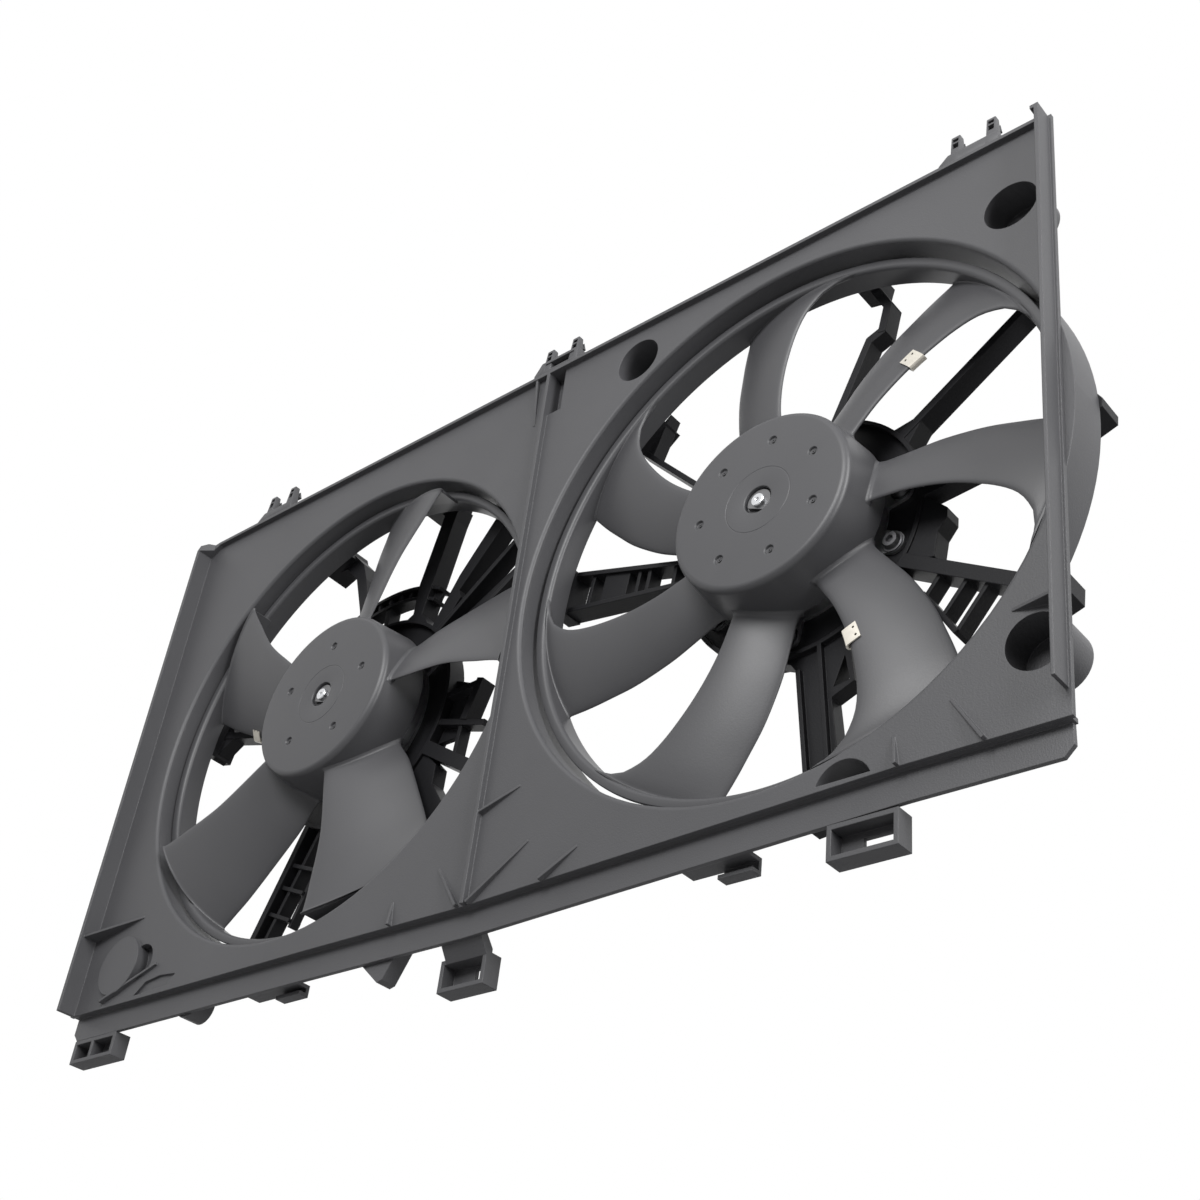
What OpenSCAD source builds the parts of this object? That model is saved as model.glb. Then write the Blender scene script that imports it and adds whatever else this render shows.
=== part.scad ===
/* [Shroud] */
// Width of the rim at mid height
rim_w = 700; // [690:2:720]
// Height of the rim
rim_h = 378; // [374:1:392]
// How far the right side leans out at the top and in at the bottom
side_lean = 5.7; // [0:0.1:6]
// Depth of the side walls in front of the plate
side_depth = 12; // [9:0.5:16]
// Depth of the top wall and the septum in front of the plate
low_depth = 3.5; // [2:0.5:5]
// Thickness of the moulded walls and the plate
wall = 2.5; // [2:0.1:2.6]
// How far the plate stands out behind the rim walls
flange = 1.5; // [0:0.1:2]
// Distance of the septum from the middle of the module
septum_x = 2.2; // [1.8:0.1:2.6]
// Depth where the fan barrels end
barrel_end = 40; // [38:1:44]

/* [Skirt and feet] */
// Height of the skirt below the plate's lower edge
skirt_drop = 15.4; // [12:0.2:18]
// Gap between the plate and the skirt
skirt_gap = 2.5; // [2:0.1:3]
// Width of a foot pocket
foot_w = 43; // [38:1:48]
// Height of a foot pocket
foot_h = 18; // [15:1:24]
// Depth of a foot pocket
foot_d = 11; // [8:1:14]
// Height of the snap prongs above the rim
prong_h = 22; // [16:1:26]
// Width of one snap prong
prong_w = 9; // [7:0.5:10]

/* [Right fan] */
// Place of the right fan's axis
right_x = 182; // [181:0.5:183]
// Height of the right fan's axis
right_z = -1; // [-3:0.5:3]
// Inner radius of the right barrel
right_bore = 172.5; // [171.5:0.5:173]
// Inner radius of the ring that joins the blade tips
ring_r = 163; // [160:0.5:164]
// Number of blades on the right fan
right_blades = 7; // [5:1:9]
// Angle of the first right blade
right_turn = 39.2; // [0:0.1:51]
// Radius of the right hub at its shoulder
right_hub_r = 56; // [54:0.5:57]

/* [Left fan] */
// Place of the left fan's axis
left_x = -157.2; // [-157.4:0.2:-157]
// Height of the left fan's axis
left_z = -9.6; // [-12:0.2:-6]
// Inner radius of the left barrel
left_bore = 164.8; // [164.4:0.2:165]
// Radius of the left blade tips in front of their ring
left_tip_r = 157.6; // [157:0.1:157.8]
// Number of blades on the left fan
left_blades = 5; // [4:1:7]
// Angle of the first left blade
left_turn = 66.4; // [0:0.1:72]
// Radius of the left hub at its shoulder
left_hub_r = 57.7; // [55:0.1:58.5]

/* [Fans] */
// Depth of the hub's front face behind the rim
hub_front = 5.5; // [5:0.5:7]
// Depth of the hub's rear rim
hub_rear = 36.5; // [35:0.5:37]
// Growth of the hub's radius from shoulder to rear rim
hub_draft = 2.5; // [1:0.1:3.5]
// Thickness of the blades
blade_t = 2.4; // [1.8:0.1:3]
// How far the blades bulge forward between their edges
blade_camber = 2.6; // [0:0.1:4]
// Radius of the motor shaft
shaft_r = 4; // [3:0.1:5]

/* [Motors] */
// Outer radius of the motor can
can_r = 45; // [42:0.5:46]
// Depth of the can's closed front end
can_front = 17; // [16:0.5:18]
// Length of the can
can_len = 45; // [43:1:50]
// Sheet thickness of the can
can_t = 1.6; // [1.2:0.1:2]
// Number of armature slots
slots = 12; // [10:1:14]
// Radius of the circle of mounting screws
screw_pitch = 62.5; // [61:0.5:64]
// Radius of the screw shank
screw_r = 2.9; // [2.4:0.1:3.1]

/* [Hidden] */
$fn = 96;

plastic = "#3b3c3f";
steel = "#b9bcc0";
zinc = "#9a9da0";
copper = "#b06a35";
brass = "#b8963e";
cream = "#d8d0bd";
carbon = "#26262a";
ferrite = "#4a4648";

left_axis = [left_x, left_z];
right_axis = [right_x, right_z];
left_screw_angles = [30, 150, 270];
right_screw_angles = [6, 211, 265, 336];

// Depths, counted from the side walls' front edge towards the engine
plate_front = side_depth;
plate_back = side_depth + wall;
low_front = side_depth - low_depth;
skirt_front = plate_back + skirt_gap;
skirt_back = skirt_front + wall;
hub_wall = 2.5;
cradle_front = 48;
cradle_t = 3;
arm_front = 44;
arm_back = 57;
can_back = can_front + can_len;
flange_back = cradle_front;
flange_t = 2;
shaft_end = can_back + 4;
fit = 0.03;
eps = 0.02;

// Heights and sides of the rim
top_z = rim_h / 2;
left_side = -rim_w / 2;
function right_side(z) = rim_w / 2 + side_lean * z / top_z;

// Lower edge of the plate, which rises a little from the septum to the right
edge_line = [[left_side, -top_z + 0.4], [-130, -top_z], [0, -top_z - 1], [100, -top_z + 2],
    [265, -top_z + 6.5], [right_side(-top_z), -top_z + 6.5]];
function edge_z(x) = lookup(x, edge_line);

function polar(r, a) = r * [cos(a), sin(a)];
function reversed(p) = [for (i = [len(p) - 1:-1:0]) p[i]];
function arc(c, r, from, to, steps) = [for (i = [0:steps]) c + polar(r, from + (to - from) * i / steps)];

// A flat shape drawn in the front view, from one depth to another
module slab(from, to) {
    translate([0, to, 0]) rotate([90, 0, 0]) linear_extrude(to - from) children();
}

// A turned shape: its profile gives radius and depth
module turned(axis, profile, angle = 360) {
    translate([axis[0], 0, axis[1]]) rotate([-90, 0, 0])
        rotate_extrude(angle = angle, $fn = 180) polygon(profile);
}

module rod(axis, r, from, to, steps = 96) {
    translate([axis[0], to, axis[1]]) rotate([90, 0, 0]) cylinder(r = r, h = to - from, $fn = steps);
}

module tube(axis, r_in, r_out, from, to, steps = 96) {
    difference() {
        rod(axis, r_out, from, to, steps);
        rod(axis, r_in, from - 1, to + 1, steps);
    }
}

module around(axis, angle) {
    translate([axis[0], 0, axis[1]]) rotate([0, -angle, 0]) children();
}

// A straight bar in the front view between two points
function bar(p, q, w) = let (d = q - p, n = w / 2 * [-d[1], d[0]] / norm(d)) [p + n, p - n, q - n, q + n];

module strut(axis, r1, a1, r2, a2, w, from, to) {
    slab(from, to) polygon(bar(axis + polar(r1, a1), axis + polar(r2, a2), w));
}

// A thin rib on the plate that runs out from one height to another
module fin(p, q, h1, h2, t = 1.6) {
    d = q - p;
    l = norm(d);
    translate([p[0], plate_front + eps, p[1]]) rotate([0, -atan2(d[1], d[0]), 0]) translate([0, 0, -t / 2])
        linear_extrude(t) polygon([[0, 0], [l, 0], [l, -h2 - eps], [0, -h1 - eps]]);
}

// Outline of the rim, grown outwards by a margin; the top left corner is cut
function rim_outline(grow) = concat(
    [[left_side - grow, top_z - 8], [left_side + 6 - grow * 0.4, top_z - 1 + grow],
     [left_side + 14, top_z + grow], [right_side(top_z) + grow, top_z + grow]],
    reversed([for (p = edge_line) [p[0] + (p == edge_line[0] ? -grow : p[0] > 300 ? grow : 0), p[1]]]));

// Area inside the rim walls
module rim_inside() {
    polygon([[left_side + wall, top_z - 9], [left_side + 15, top_z - wall],
        [right_side(top_z) - wall, top_z - wall], [right_side(-top_z) - wall, -top_z - 20],
        [left_side + wall, -top_z - 20]]);
}

septum_left = septum_x - wall / 2;
septum_right = septum_x + wall / 2;
barrel_split = 6.8;

corner_cup = [331, 135.5];
lower_cup = [331, -140.8];
middle_cup = [77.4, 161];
edge_cup = [234.6, -186.3];
cup_r = 15.5;
cup_wall = 1.8;
cup_end = 33;
disc = [-309.3, -162.3];
disc_r = 19.5;
recess = disc + [20.5, -0.7];

module cup_shell(c, r) {
    difference() {
        rod(c, r + cup_wall, plate_back - 0.5, cup_end);
        rod(c, r, plate_front - 1, cup_end - cup_wall);
    }
}

module opening_left(y_from, y_to) {
    intersection() {
        slab(y_from, y_to) translate(left_axis) circle(r = left_bore, $fn = 180);
        slab(y_from - 1, y_to + 1) translate([-rim_w, -rim_w]) square([rim_w + septum_left, 2 * rim_w]);
    }
}

module shroud_panel() {
    color(plastic) difference() {
        union() {
            // Plate, with the walls of the rim standing on it
            slab(plate_front, plate_back) polygon(rim_outline(flange));
            difference() {
                slab(0, plate_front + eps) polygon(rim_outline(0));
                slab(-1, plate_front + 1) rim_inside();
                // The tall side walls run down to the low top wall in a short ramp
                translate([0, 0, top_z - 40]) linear_extrude(50) polygon([[left_side + wall + 0.5, -1],
                    [left_side + wall + 0.5, 0], [left_side + 9, low_front],
                    [right_side(top_z - 40) - wall - 1, low_front], [right_side(top_z - 40) - wall - 1, -1]]);
                translate([left_side + 5, -1, -top_z - 20]) cube([rim_w - 10, side_depth + 2, 40]);
            }
            // Septum between the two fans
            translate([septum_left, low_front, edge_z(septum_x)])
                cube([wall, low_depth + eps, top_z - edge_z(septum_x)]);
            cup_shell(corner_cup, cup_r);
            cup_shell(middle_cup, cup_r);
            cup_shell(lower_cup, cup_r - 1);
            intersection() {
                cup_shell(edge_cup, cup_r);
                translate([0, 0, edge_z(edge_cup[0] + cup_r + cup_wall) + wall]) cube([rim_w, cup_end, 40]);
            }
            rod(disc, disc_r, plate_front - 2.5, plate_back);
            rod(recess, 13.5, plate_front + 0.5, plate_back + 5);
            ribs();
            top_pocket_shell();
        }
        opening_left(plate_front - 1, plate_back + 1);
        intersection() {
            slab(plate_front - 1, plate_back + 1) translate(right_axis) circle(r = right_bore, $fn = 180);
            slab(0, plate_back + 2) rim_inside();
        }
        mouth_rounding(right_axis, right_bore);
        mouth_rounding(left_axis, left_bore);
        rod(corner_cup, cup_r, -1, plate_back + 1);
        rod(middle_cup, cup_r, -1, plate_back + 1);
        intersection() {
            rod(lower_cup, cup_r - 1, plate_front - 1, plate_back + 1);
            slab(0, plate_back + 2) rim_inside();
        }
        intersection() {
            rod(edge_cup, cup_r, plate_front - 1, plate_back + 1);
            translate([0, 0, edge_z(edge_cup[0]) + wall]) cube([rim_w, plate_back + 2, 40]);
        }
        difference() {
            rod(recess, 12, plate_front - 1, plate_back + 3.5);
            rod(disc, disc_r, 0, plate_back + 4);
        }
        slab(plate_front - 1, plate_back - 1) polygon([[-286, -186], [-277, -178.6], [-262.7, -176.8],
            [-247, -178.5], [-254.4, -184.9]]);
        translate([septum_right, plate_front - 1, top_z - wall - pocket_h]) cube([pocket_w, wall + 2, pocket_h]);
    }
}

pocket_w = 11;
pocket_h = 34;
pocket_end = 22;

module top_pocket_shell() {
    difference() {
        translate([septum_right - 1, plate_front, top_z - wall - pocket_h - 1.5])
            cube([pocket_w + 2.5, pocket_end - plate_front, pocket_h + 3]);
        translate([septum_right, plate_front - 1, top_z - wall - pocket_h])
            cube([pocket_w, pocket_end - plate_front - 1, pocket_h]);
    }
}

// Rounding of an opening's front edge
module mouth_rounding(axis, r) {
    intersection() {
        turned(axis, concat([[r - 1, plate_front - 1], [r - 1, plate_back], [r, plate_back]],
            arc([r + wall, plate_back], wall, 180, 270, 5), [[r + wall, plate_front - 1]]));
        if (axis == left_axis) translate([-rim_w, 0, -rim_w]) cube([rim_w + septum_left, 40, 2 * rim_w]);
        else slab(0, 40) rim_inside();
    }
}

module ribs() {
    fin([left_side + wall - 0.5, -137], [-298, -130], 10, 0.3);
    fin([-269, -168.2], [-319, -184.6], 1.5, 3);
    low = low_depth - 0.4;
    fin([septum_left - 4, edge_z(-3) + 0.4], [-23, -163], low, 0.3);
    fin([septum_right - 0.5, -136], [30, -126], low, 0.3);
    fin([septum_right + 1, edge_z(4) + 0.6], [41.9, -162], low, 0.3);
    fin([55, edge_z(55) + 0.3], [77, -174], low, 0.3);
    fin([-54.5, edge_z(-54) + 0.3], [-56, -175], low, 0.3);
    fin([263, edge_z(263) + 0.3], [261, -167], low, 0.3);
    fin([306, edge_z(306) + 0.3], [290, -157], low, 0.3);
    fin([right_side(-122) - wall + 0.5, -124], [321, -121], 8, 0.3);
    fin([-8.5, top_z - wall + 0.5], [-7, 148], low, 0.3);
}

module left_barrel() {
    color(plastic) intersection() {
        tube(left_axis, left_bore, left_bore + wall, plate_back, barrel_end, 180);
        translate([-rim_w, 0, -rim_w]) cube([rim_w + barrel_split, 60, 2 * rim_w]);
    }
}

module right_barrel() {
    color(plastic) {
        difference() {
            rod(right_axis, right_bore + wall, plate_back, barrel_end, 180);
            difference() {
                rod(right_axis, right_bore, plate_back - 1, barrel_end + 1, 180);
                // Crescent that closes the barrel where it bulges past the side wall
                difference() {
                    slab(plate_back - 2, plate_back + wall) translate([250, -100]) square([150, 200]);
                    slab(plate_back - 3, plate_back + wall + 1) rim_inside();
                }
            }
        }
    }
}

module bottom_skirt() {
    color(plastic) {
        slab(plate_back, skirt_back) polygon(concat(edge_line,
            reversed([for (p = edge_line) [p[0], p[1] + wall]])));
        slab(skirt_front, skirt_back) polygon(concat(
            [[left_side + 1, edge_z(left_side) + 0.5]],
            [for (i = [1:len(edge_line) - 2]) edge_line[i] + [0, 0.5]],
            [[right_side(-top_z) - 1, edge_z(340) + 0.5], [right_side(-top_z) - 1, edge_z(340) - skirt_drop + 5],
             [right_side(-top_z) - 6, edge_z(340) - skirt_drop]],
            reversed([for (i = [1:len(edge_line) - 2]) edge_line[i] - [0, skirt_drop]]),
            [[left_side + 6, edge_z(left_side) - skirt_drop], [left_side + 1, edge_z(left_side) - skirt_drop + 5]]));
    }
}

// A pocket, open to the front, that drops over a lug on the radiator
module pocket(x, top, y, w, h, d) {
    difference() {
        translate([x, y, top - h]) cube([w, d, h]);
        translate([x + wall, y - 1, top - h + wall]) cube([w - 2 * wall, d - wall + 1, h - 2 * wall]);
    }
}

left_foot_x = -345;
centre_foot_x = -23;
right_foot_x = 223.5;
centre_foot_drop = 5.5;
centre_foot_w = foot_w - 10;
right_foot_w = foot_w - 6;
centre_foot_y = 25;

module left_foot() {
    foot_top = edge_z(left_foot_x + foot_w) - skirt_drop;
    color(plastic) {
        pocket(left_foot_x, foot_top, skirt_front, foot_w, 15, foot_d);
        translate([left_foot_x + foot_w * 0.42, skirt_front, foot_top - 14]) cube([wall, foot_d - 1, 13]);
    }
}

module centre_foot() {
    edge = edge_z(0) - skirt_drop;
    foot_top = edge - centre_foot_drop;
    color(plastic) difference() {
        union() {
            pocket(centre_foot_x, foot_top, centre_foot_y, centre_foot_w, foot_h, foot_d);
            translate([centre_foot_x + 4, 0, 0]) rotate([90, 0, 90]) linear_extrude(centre_foot_w - 4)
                polygon([[skirt_back, edge + 8], [skirt_back, edge], [centre_foot_y, foot_top - wall],
                    [centre_foot_y + 4, foot_top - wall], [centre_foot_y + 4, foot_top + 2]]);
        }
        translate([centre_foot_x + centre_foot_w * 0.55, centre_foot_y, foot_top - foot_h + wall + 2])
            cube([centre_foot_w * 0.45 - wall - 2, foot_d + 1, foot_h - 2 * wall - 4]);
    }
}

module right_foot() {
    foot_top = edge_z(right_foot_x) - skirt_drop;
    color(plastic) difference() {
        pocket(right_foot_x, foot_top, skirt_front, right_foot_w, foot_h, foot_d);
        translate([right_foot_x + 14, skirt_front + 2, foot_top - 12]) cube([right_foot_w - 20, foot_d, 6]);
    }
}

clip_y = 10;
clip_d = 7.5;
clip_places = [-288, -7, 296];
clip_w = 31;

// Snap bracket: two barbed prongs on a short base
module snap_bracket(x, base) {
    translate([x, clip_y, top_z + flange]) {
        difference() {
            cube([clip_w, clip_d, base]);
            if (base > 10) translate([3, -1, 2.5]) cube([clip_w - 6, clip_d - 1, base - 5]);
        }
        for (side = [0, 1]) {
            translate([side * (clip_w - prong_w), 0, 0]) difference() {
                translate([prong_w, 0, 0]) rotate([0, -90, 0]) linear_extrude(prong_w)
                    polygon([[0, 0], [prong_h - 4, 0], [prong_h, 2.5], [prong_h, clip_d - 2],
                        [prong_h - 4, clip_d + 2], [prong_h - 6, clip_d + 2], [prong_h - 6, clip_d], [0, clip_d]]);
                translate([prong_w / 2, clip_d + 3, prong_h - 9]) rotate([90, 0, 0])
                    cylinder(r = 1.6, h = clip_d + 4, $fn = 32);
            }
        }
    }
}

module top_clips() {
    color(plastic) for (x = clip_places) snap_bracket(x, x == clip_places[1] ? 11 : 7);
}

// Hooks behind the skirt that carry the harness: place, width and drop of each
hook_list = [[-182, 44, 5], [138, 40, 7]];
module harness_hooks() {
    color(plastic) {
        for (h = hook_list) translate([h[0], skirt_back, edge_z(h[0]) - skirt_drop + 2]) {
            cube([h[1], 12, 2.2]);
            translate([h[1] - 20, 9.8, -h[2]]) cube([20, 2.2, h[2] + 1]);
            translate([h[1] - 20, 5, -h[2]]) cube([20, 6, 2.2]);
        }
        // Round boss and a funnel
        rod([-236, edge_z(-236) - skirt_drop + 8.5], 10.5, skirt_back, skirt_back + 12);
        difference() {
            slab(skirt_back, skirt_back + 10) polygon([[-88, -198], [-52, -198], [-62, -215.5], [-66, -216.5]]);
            slab(skirt_back + 2.5, skirt_back + 11) polygon([[-82, -200.5], [-57, -200.5], [-63.2, -211.5], [-65.4, -212]]);
        }
    }
}

// Middle of a spider: the ring that the motor is screwed to
cradle_in = can_r + 2.5;
cradle_out = 76;

module cradle(axis, angles) {
    difference() {
        union() {
            tube(axis, cradle_in, cradle_out - 1, cradle_front, cradle_front + cradle_t);
            tube(axis, cradle_out - wall, cradle_out, arm_front, arm_back);
            for (a = angles) around(axis, a)
                translate([screw_pitch, arm_back + 3, 0]) rotate([90, 0, 0])
                    cylinder(r = 6.5, h = arm_back + 2 - cradle_front);
            for (a = [15:30:345]) around(axis, a)
                translate([cradle_in + 1, cradle_front + 1, -1]) cube([cradle_out - cradle_in - 2, 7, 2]);
        }
        for (a = angles) around(axis, a)
            translate([screw_pitch, arm_back + 5, 0]) rotate([90, 0, 0])
                cylinder(r = screw_r + 0.1, h = arm_back + 6 - cradle_front);
    }
}

// Foot of an arm on the rear edge of the barrel
module arm_foot(axis, a, bore, w) {
    around(axis, a) translate([bore - 4, barrel_end, -w / 2]) cube([4 + wall + 3, arm_back - barrel_end, w]);
}

// A flat piece whose corners are given by radius and angle about a fan's axis
module plate_at(axis, corners, from, to) {
    slab(from, to) polygon([for (c = corners) axis + polar(c[0], c[1])]);
}

module rungs(axis, list, w = 2.5) {
    for (g = list) strut(axis, g[0], g[1], g[2], g[3], w, arm_front + 2, arm_back - 1.5);
}

module right_spider() {
    r_end = right_bore + 1;
    base = cradle_out - 1;
    color(plastic) {
        cradle(right_axis, right_screw_angles);
        // Bulge of the cradle at the right
        plate_at(right_axis, [[base, 327], [93, 331], [89, 340], [92, 345.5], [91, 349], [base, 358]],
            arm_front + 1, arm_back - 1);
        // Arm at the right, with its end block outside the barrel
        strut(right_axis, base, 358.3, r_end, 3.3, 6, arm_front, arm_back - 2);
        plate_at(right_axis, [[169, 7.7], [177, 2.6], [176.4, 0.9], [166.2, 359.6]], barrel_end, arm_back - 0.5);
        // Deep straight arm, wider at the cradle
        strut(right_axis, base, 33.5, r_end, 34.8, 5, arm_front, arm_back);
        plate_at(right_axis, [[base, 40], [base, 27], [94, 33.8]], arm_front + 0.5, arm_back - 0.5);
        arm_foot(right_axis, 34.8, right_bore, 18);
        // Thick arm below, with a thin rail beside it
        strut(right_axis, base, 327.3, r_end, 328.5, 8, arm_front, arm_back);
        strut(right_axis, 99, 318.8, 132, 314.4, 3, arm_front + 1, arm_back - 1);
        strut(right_axis, base, 321, 101, 318.5, 3, arm_front + 1, arm_back - 1);
        rungs(right_axis, [[101, 326, 101, 318.5], [118, 326.5, 118, 316], [131, 327, 131.5, 314.5]]);
        plate_at(right_axis, [[166, 332.6], [176, 330.5], [180, 327.8], [175, 325.6], [166, 325]], barrel_end, arm_back - 0.5);
        // Bent arm at the top
        strut(right_axis, base, 74.5, 132.5, 71.2, 5, arm_front, arm_back - 2);
        strut(right_axis, 131, 71.4, 138, 68.1, 6, arm_front + 0.3, arm_back - 2.3);
        strut(right_axis, 136, 68.3, 156.5, 69.7, 5, arm_front, arm_back - 2);
        strut(right_axis, 155, 69.4, r_end, 75.6, 5.6, arm_front + 0.3, arm_back - 2.3);
        arm_foot(right_axis, 75.6, right_bore, 14);
        // Broad arm below, with a slot and two raised edges
        difference() {
            plate_at(right_axis, [[base, 257], [79, 267], [86, 270.6], [129, 272.4], [r_end, 273.4], [r_end, 280],
                [109, 281.4], [107, 289], [base, 294]], arm_front + 3, arm_back - 1);
            plate_at(right_axis, [[88.7, 289], [103.5, 282.6], [104.5, 287.8]], arm_front - 1, arm_back + 1);
        }
        strut(right_axis, 86, 271.6, r_end, 274, 2.5, arm_front, arm_back - 2);
        strut(right_axis, base, 281.4, r_end, 278, 2.5, arm_front, arm_back - 2);
        arm_foot(right_axis, 276.5, right_bore, 20);
        // Thin arm at the upper left
        strut(right_axis, base, 137.6, r_end, 135.6, 3.4, arm_front, arm_back - 2);
        plate_at(right_axis, [[r_end, 126], [r_end, 136], [158, 135.8]], arm_front + 0.5, arm_back - 3);
        arm_foot(right_axis, 132, right_bore, 24);
        // Ladder arm with a solid block in its middle
        strut(right_axis, base, 169, r_end, 166, 3, arm_front, arm_back);
        strut(right_axis, base, 179.5, r_end, 174.6, 3, arm_front, arm_back);
        plate_at(right_axis, [[125, 167], [125, 176.4], [145, 175.4], [145, 166.6]], arm_front + 2, arm_back - 1);
        rungs(right_axis, [[155, 166.5, 155, 175], [117, 167.4, 117, 177], [109, 167.6, 109, 177.5],
            [89, 168.3, 89, 178.6]]);
        arm_foot(right_axis, 170.5, right_bore, 30);
    }
}

module left_spider() {
    r_end = left_bore + 1;
    base = cradle_out - 1;
    color(plastic) {
        cradle(left_axis, left_screw_angles);
        // Outer ring of the cradle at the top: two walls and a web with slots
        intersection() {
            union() {
                tube(left_axis, 92, 94.5, arm_front + 1, arm_back - 2.2);
                tube(left_axis, 100.5, 103, arm_front + 1, arm_back - 2.2);
                difference() {
                    tube(left_axis, 93, 102, arm_front + 5, arm_front + 7.5);
                    for (a = [83, 95]) around(left_axis, a) translate([95.4, arm_front, -5]) cube([4.2, 12, 6]);
                }
            }
            slab(arm_front - 1, arm_back + 1) polygon([left_axis, left_axis + polar(200, 62), left_axis + polar(200, 111.5)]);
        }
        rungs(left_axis, [[base, 92, 93.5, 92], [base, 109, 93.5, 109]], 4);
        rungs(left_axis, [[93, 80, 102, 80], [93, 86, 102, 86], [93, 92, 102, 92], [93, 98, 102, 98],
            [93, 104, 102, 104], [93, 109, 102, 109]], 2);
        // Arm at the top that flares at the barrel
        plate_at(left_axis, [[base, 74], [80, 70.4], [103, 74.7], [159, 75.8], [r_end, 80], [r_end, 71.2],
            [155, 71.1], [81, 63.9], [base, 54]], arm_front, arm_back - 0.4);
        arm_foot(left_axis, 77, left_bore, 28);
        // Two straight arms beside it
        plate_at(left_axis, [[base, 50.5], [114, 54.6], [r_end, 54.6], [r_end, 50.2], [105, 49.4], [102, 46], [base, 42]],
            arm_front + 0.5, arm_back - 0.5);
        arm_foot(left_axis, 52.4, left_bore, 18);
        plate_at(left_axis, [[base, 42], [94, 40.6], [r_end, 35.8], [r_end, 31.4], [130, 31.2], [base, 27]],
            arm_front + 6, arm_back - 1);
        strut(left_axis, base, 44, r_end, 41.2, 4, arm_front, arm_back - 1.6);
        strut(left_axis, base, 28.2, r_end, 32, 3, arm_front, arm_back - 1.6);
        arm_foot(left_axis, 36.5, left_bore, 28);
        // Slanted rail between the cradle and the lower right arm
        strut(left_axis, 104, 359.5, 98.5, 343.6, 5.5, arm_front, arm_back - 2);
        strut(left_axis, base, 357, 104.5, 358.6, 4, arm_front + 1, arm_back - 2.5);
        strut(left_axis, base, 342.8, 118, 342.7, 4, arm_front + 1, arm_back - 2.5);
        strut(left_axis, 96, 342, 104, 329.5, 3, arm_front + 2, arm_back - 3);
        plate_at(left_axis, [[base, 333], [91, 338], [91, 2], [base, 8]], arm_back - 6, arm_back - 2.6);
        // Two arms at the lower right
        plate_at(left_axis, [[base, 327], [92, 324.8], [100, 318.6], [121, 316.4], [r_end, 317.5], [r_end, 306],
            [110, 306], [base, 302]], arm_front + 2, arm_back - 1);
        arm_foot(left_axis, 311.5, left_bore, 28);
        strut(left_axis, base, 329.3, r_end, 328.7, 9, arm_front, arm_back - 0.4);
        arm_foot(left_axis, 328.7, left_bore, 24);
        // Ladder arm at the bottom
        strut(left_axis, base, 242, r_end, 245, 5, arm_front, arm_back - 0.4);
        strut(left_axis, base, 250.8, r_end, 247.9, 3, arm_front + 3, arm_back - 1);
        plate_at(left_axis, [[base, 242], [base, 250.8], [r_end, 247.9], [r_end, 245]], arm_back - 4, arm_back - 1.6);
        strut(left_axis, base, 261, 140, 255, 3, arm_front + 4, arm_back - 3);
        rungs(left_axis, [[102, 243, 102.6, 258], [117, 244, 118, 256.4], [135, 244.6, 136, 255]]);
        arm_foot(left_axis, 246.5, left_bore, 26);
        // Two arms at the left
        strut(left_axis, base, 169.5, r_end, 166.4, 5, arm_front, arm_back - 2);
        plate_at(left_axis, [[r_end, 160], [r_end, 173], [148, 167.2]], arm_front + 0.5, arm_back - 2.5);
        arm_foot(left_axis, 166.5, left_bore, 34);
        plate_at(left_axis, [[base, 109], [105, 107.8], [140, 108.5], [158, 111.5], [r_end, 117], [r_end, 108.5],
            [150, 105.5], [133, 104.6], [105, 104], [base, 103.5]], arm_front, arm_back - 2);
        arm_foot(left_axis, 112.7, left_bore, 24);
    }
}

// Hub cap of a fan: a cup with a rounded shoulder and a boss on the shaft
recess_r = 8.5;
recess_d = 3.5;
boss_r = 11.5;
boss_end = hub_front + 7;
shoulder = 4;

module hub_cap(axis, shoulder_r, dimples, dimple_pitch, dimple_turn) {
    inner = shoulder_r - hub_wall;
    difference() {
        union() {
            turned(axis, concat(
                [[shaft_r + fit, hub_front + recess_d], [recess_r, hub_front + recess_d], [recess_r, hub_front]],
                arc([shoulder_r - shoulder, hub_front + shoulder], shoulder, 270, 360, 5),
                [[shoulder_r + hub_draft, hub_rear], [shoulder_r + hub_draft - hub_wall, hub_rear],
                 [inner, hub_front + 7], [inner - 3, hub_front + 3], [boss_r, hub_front + 3],
                 [boss_r, boss_end], [shaft_r + fit, boss_end]]));
            for (i = [0:dimples - 1]) around(axis, dimple_turn - i * 360 / dimples)
                translate([boss_r - 1, hub_front + 2, -1]) cube([inner - boss_r, 3.5, 2]);
        }
        for (i = [0:dimples - 1]) around(axis, dimple_turn - i * 360 / dimples)
            translate([dimple_pitch, hub_front + 1.2, 0]) rotate([90, 0, 0]) cylinder(r = 2.8, h = 2, $fn = 32);
    }
}

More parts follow.
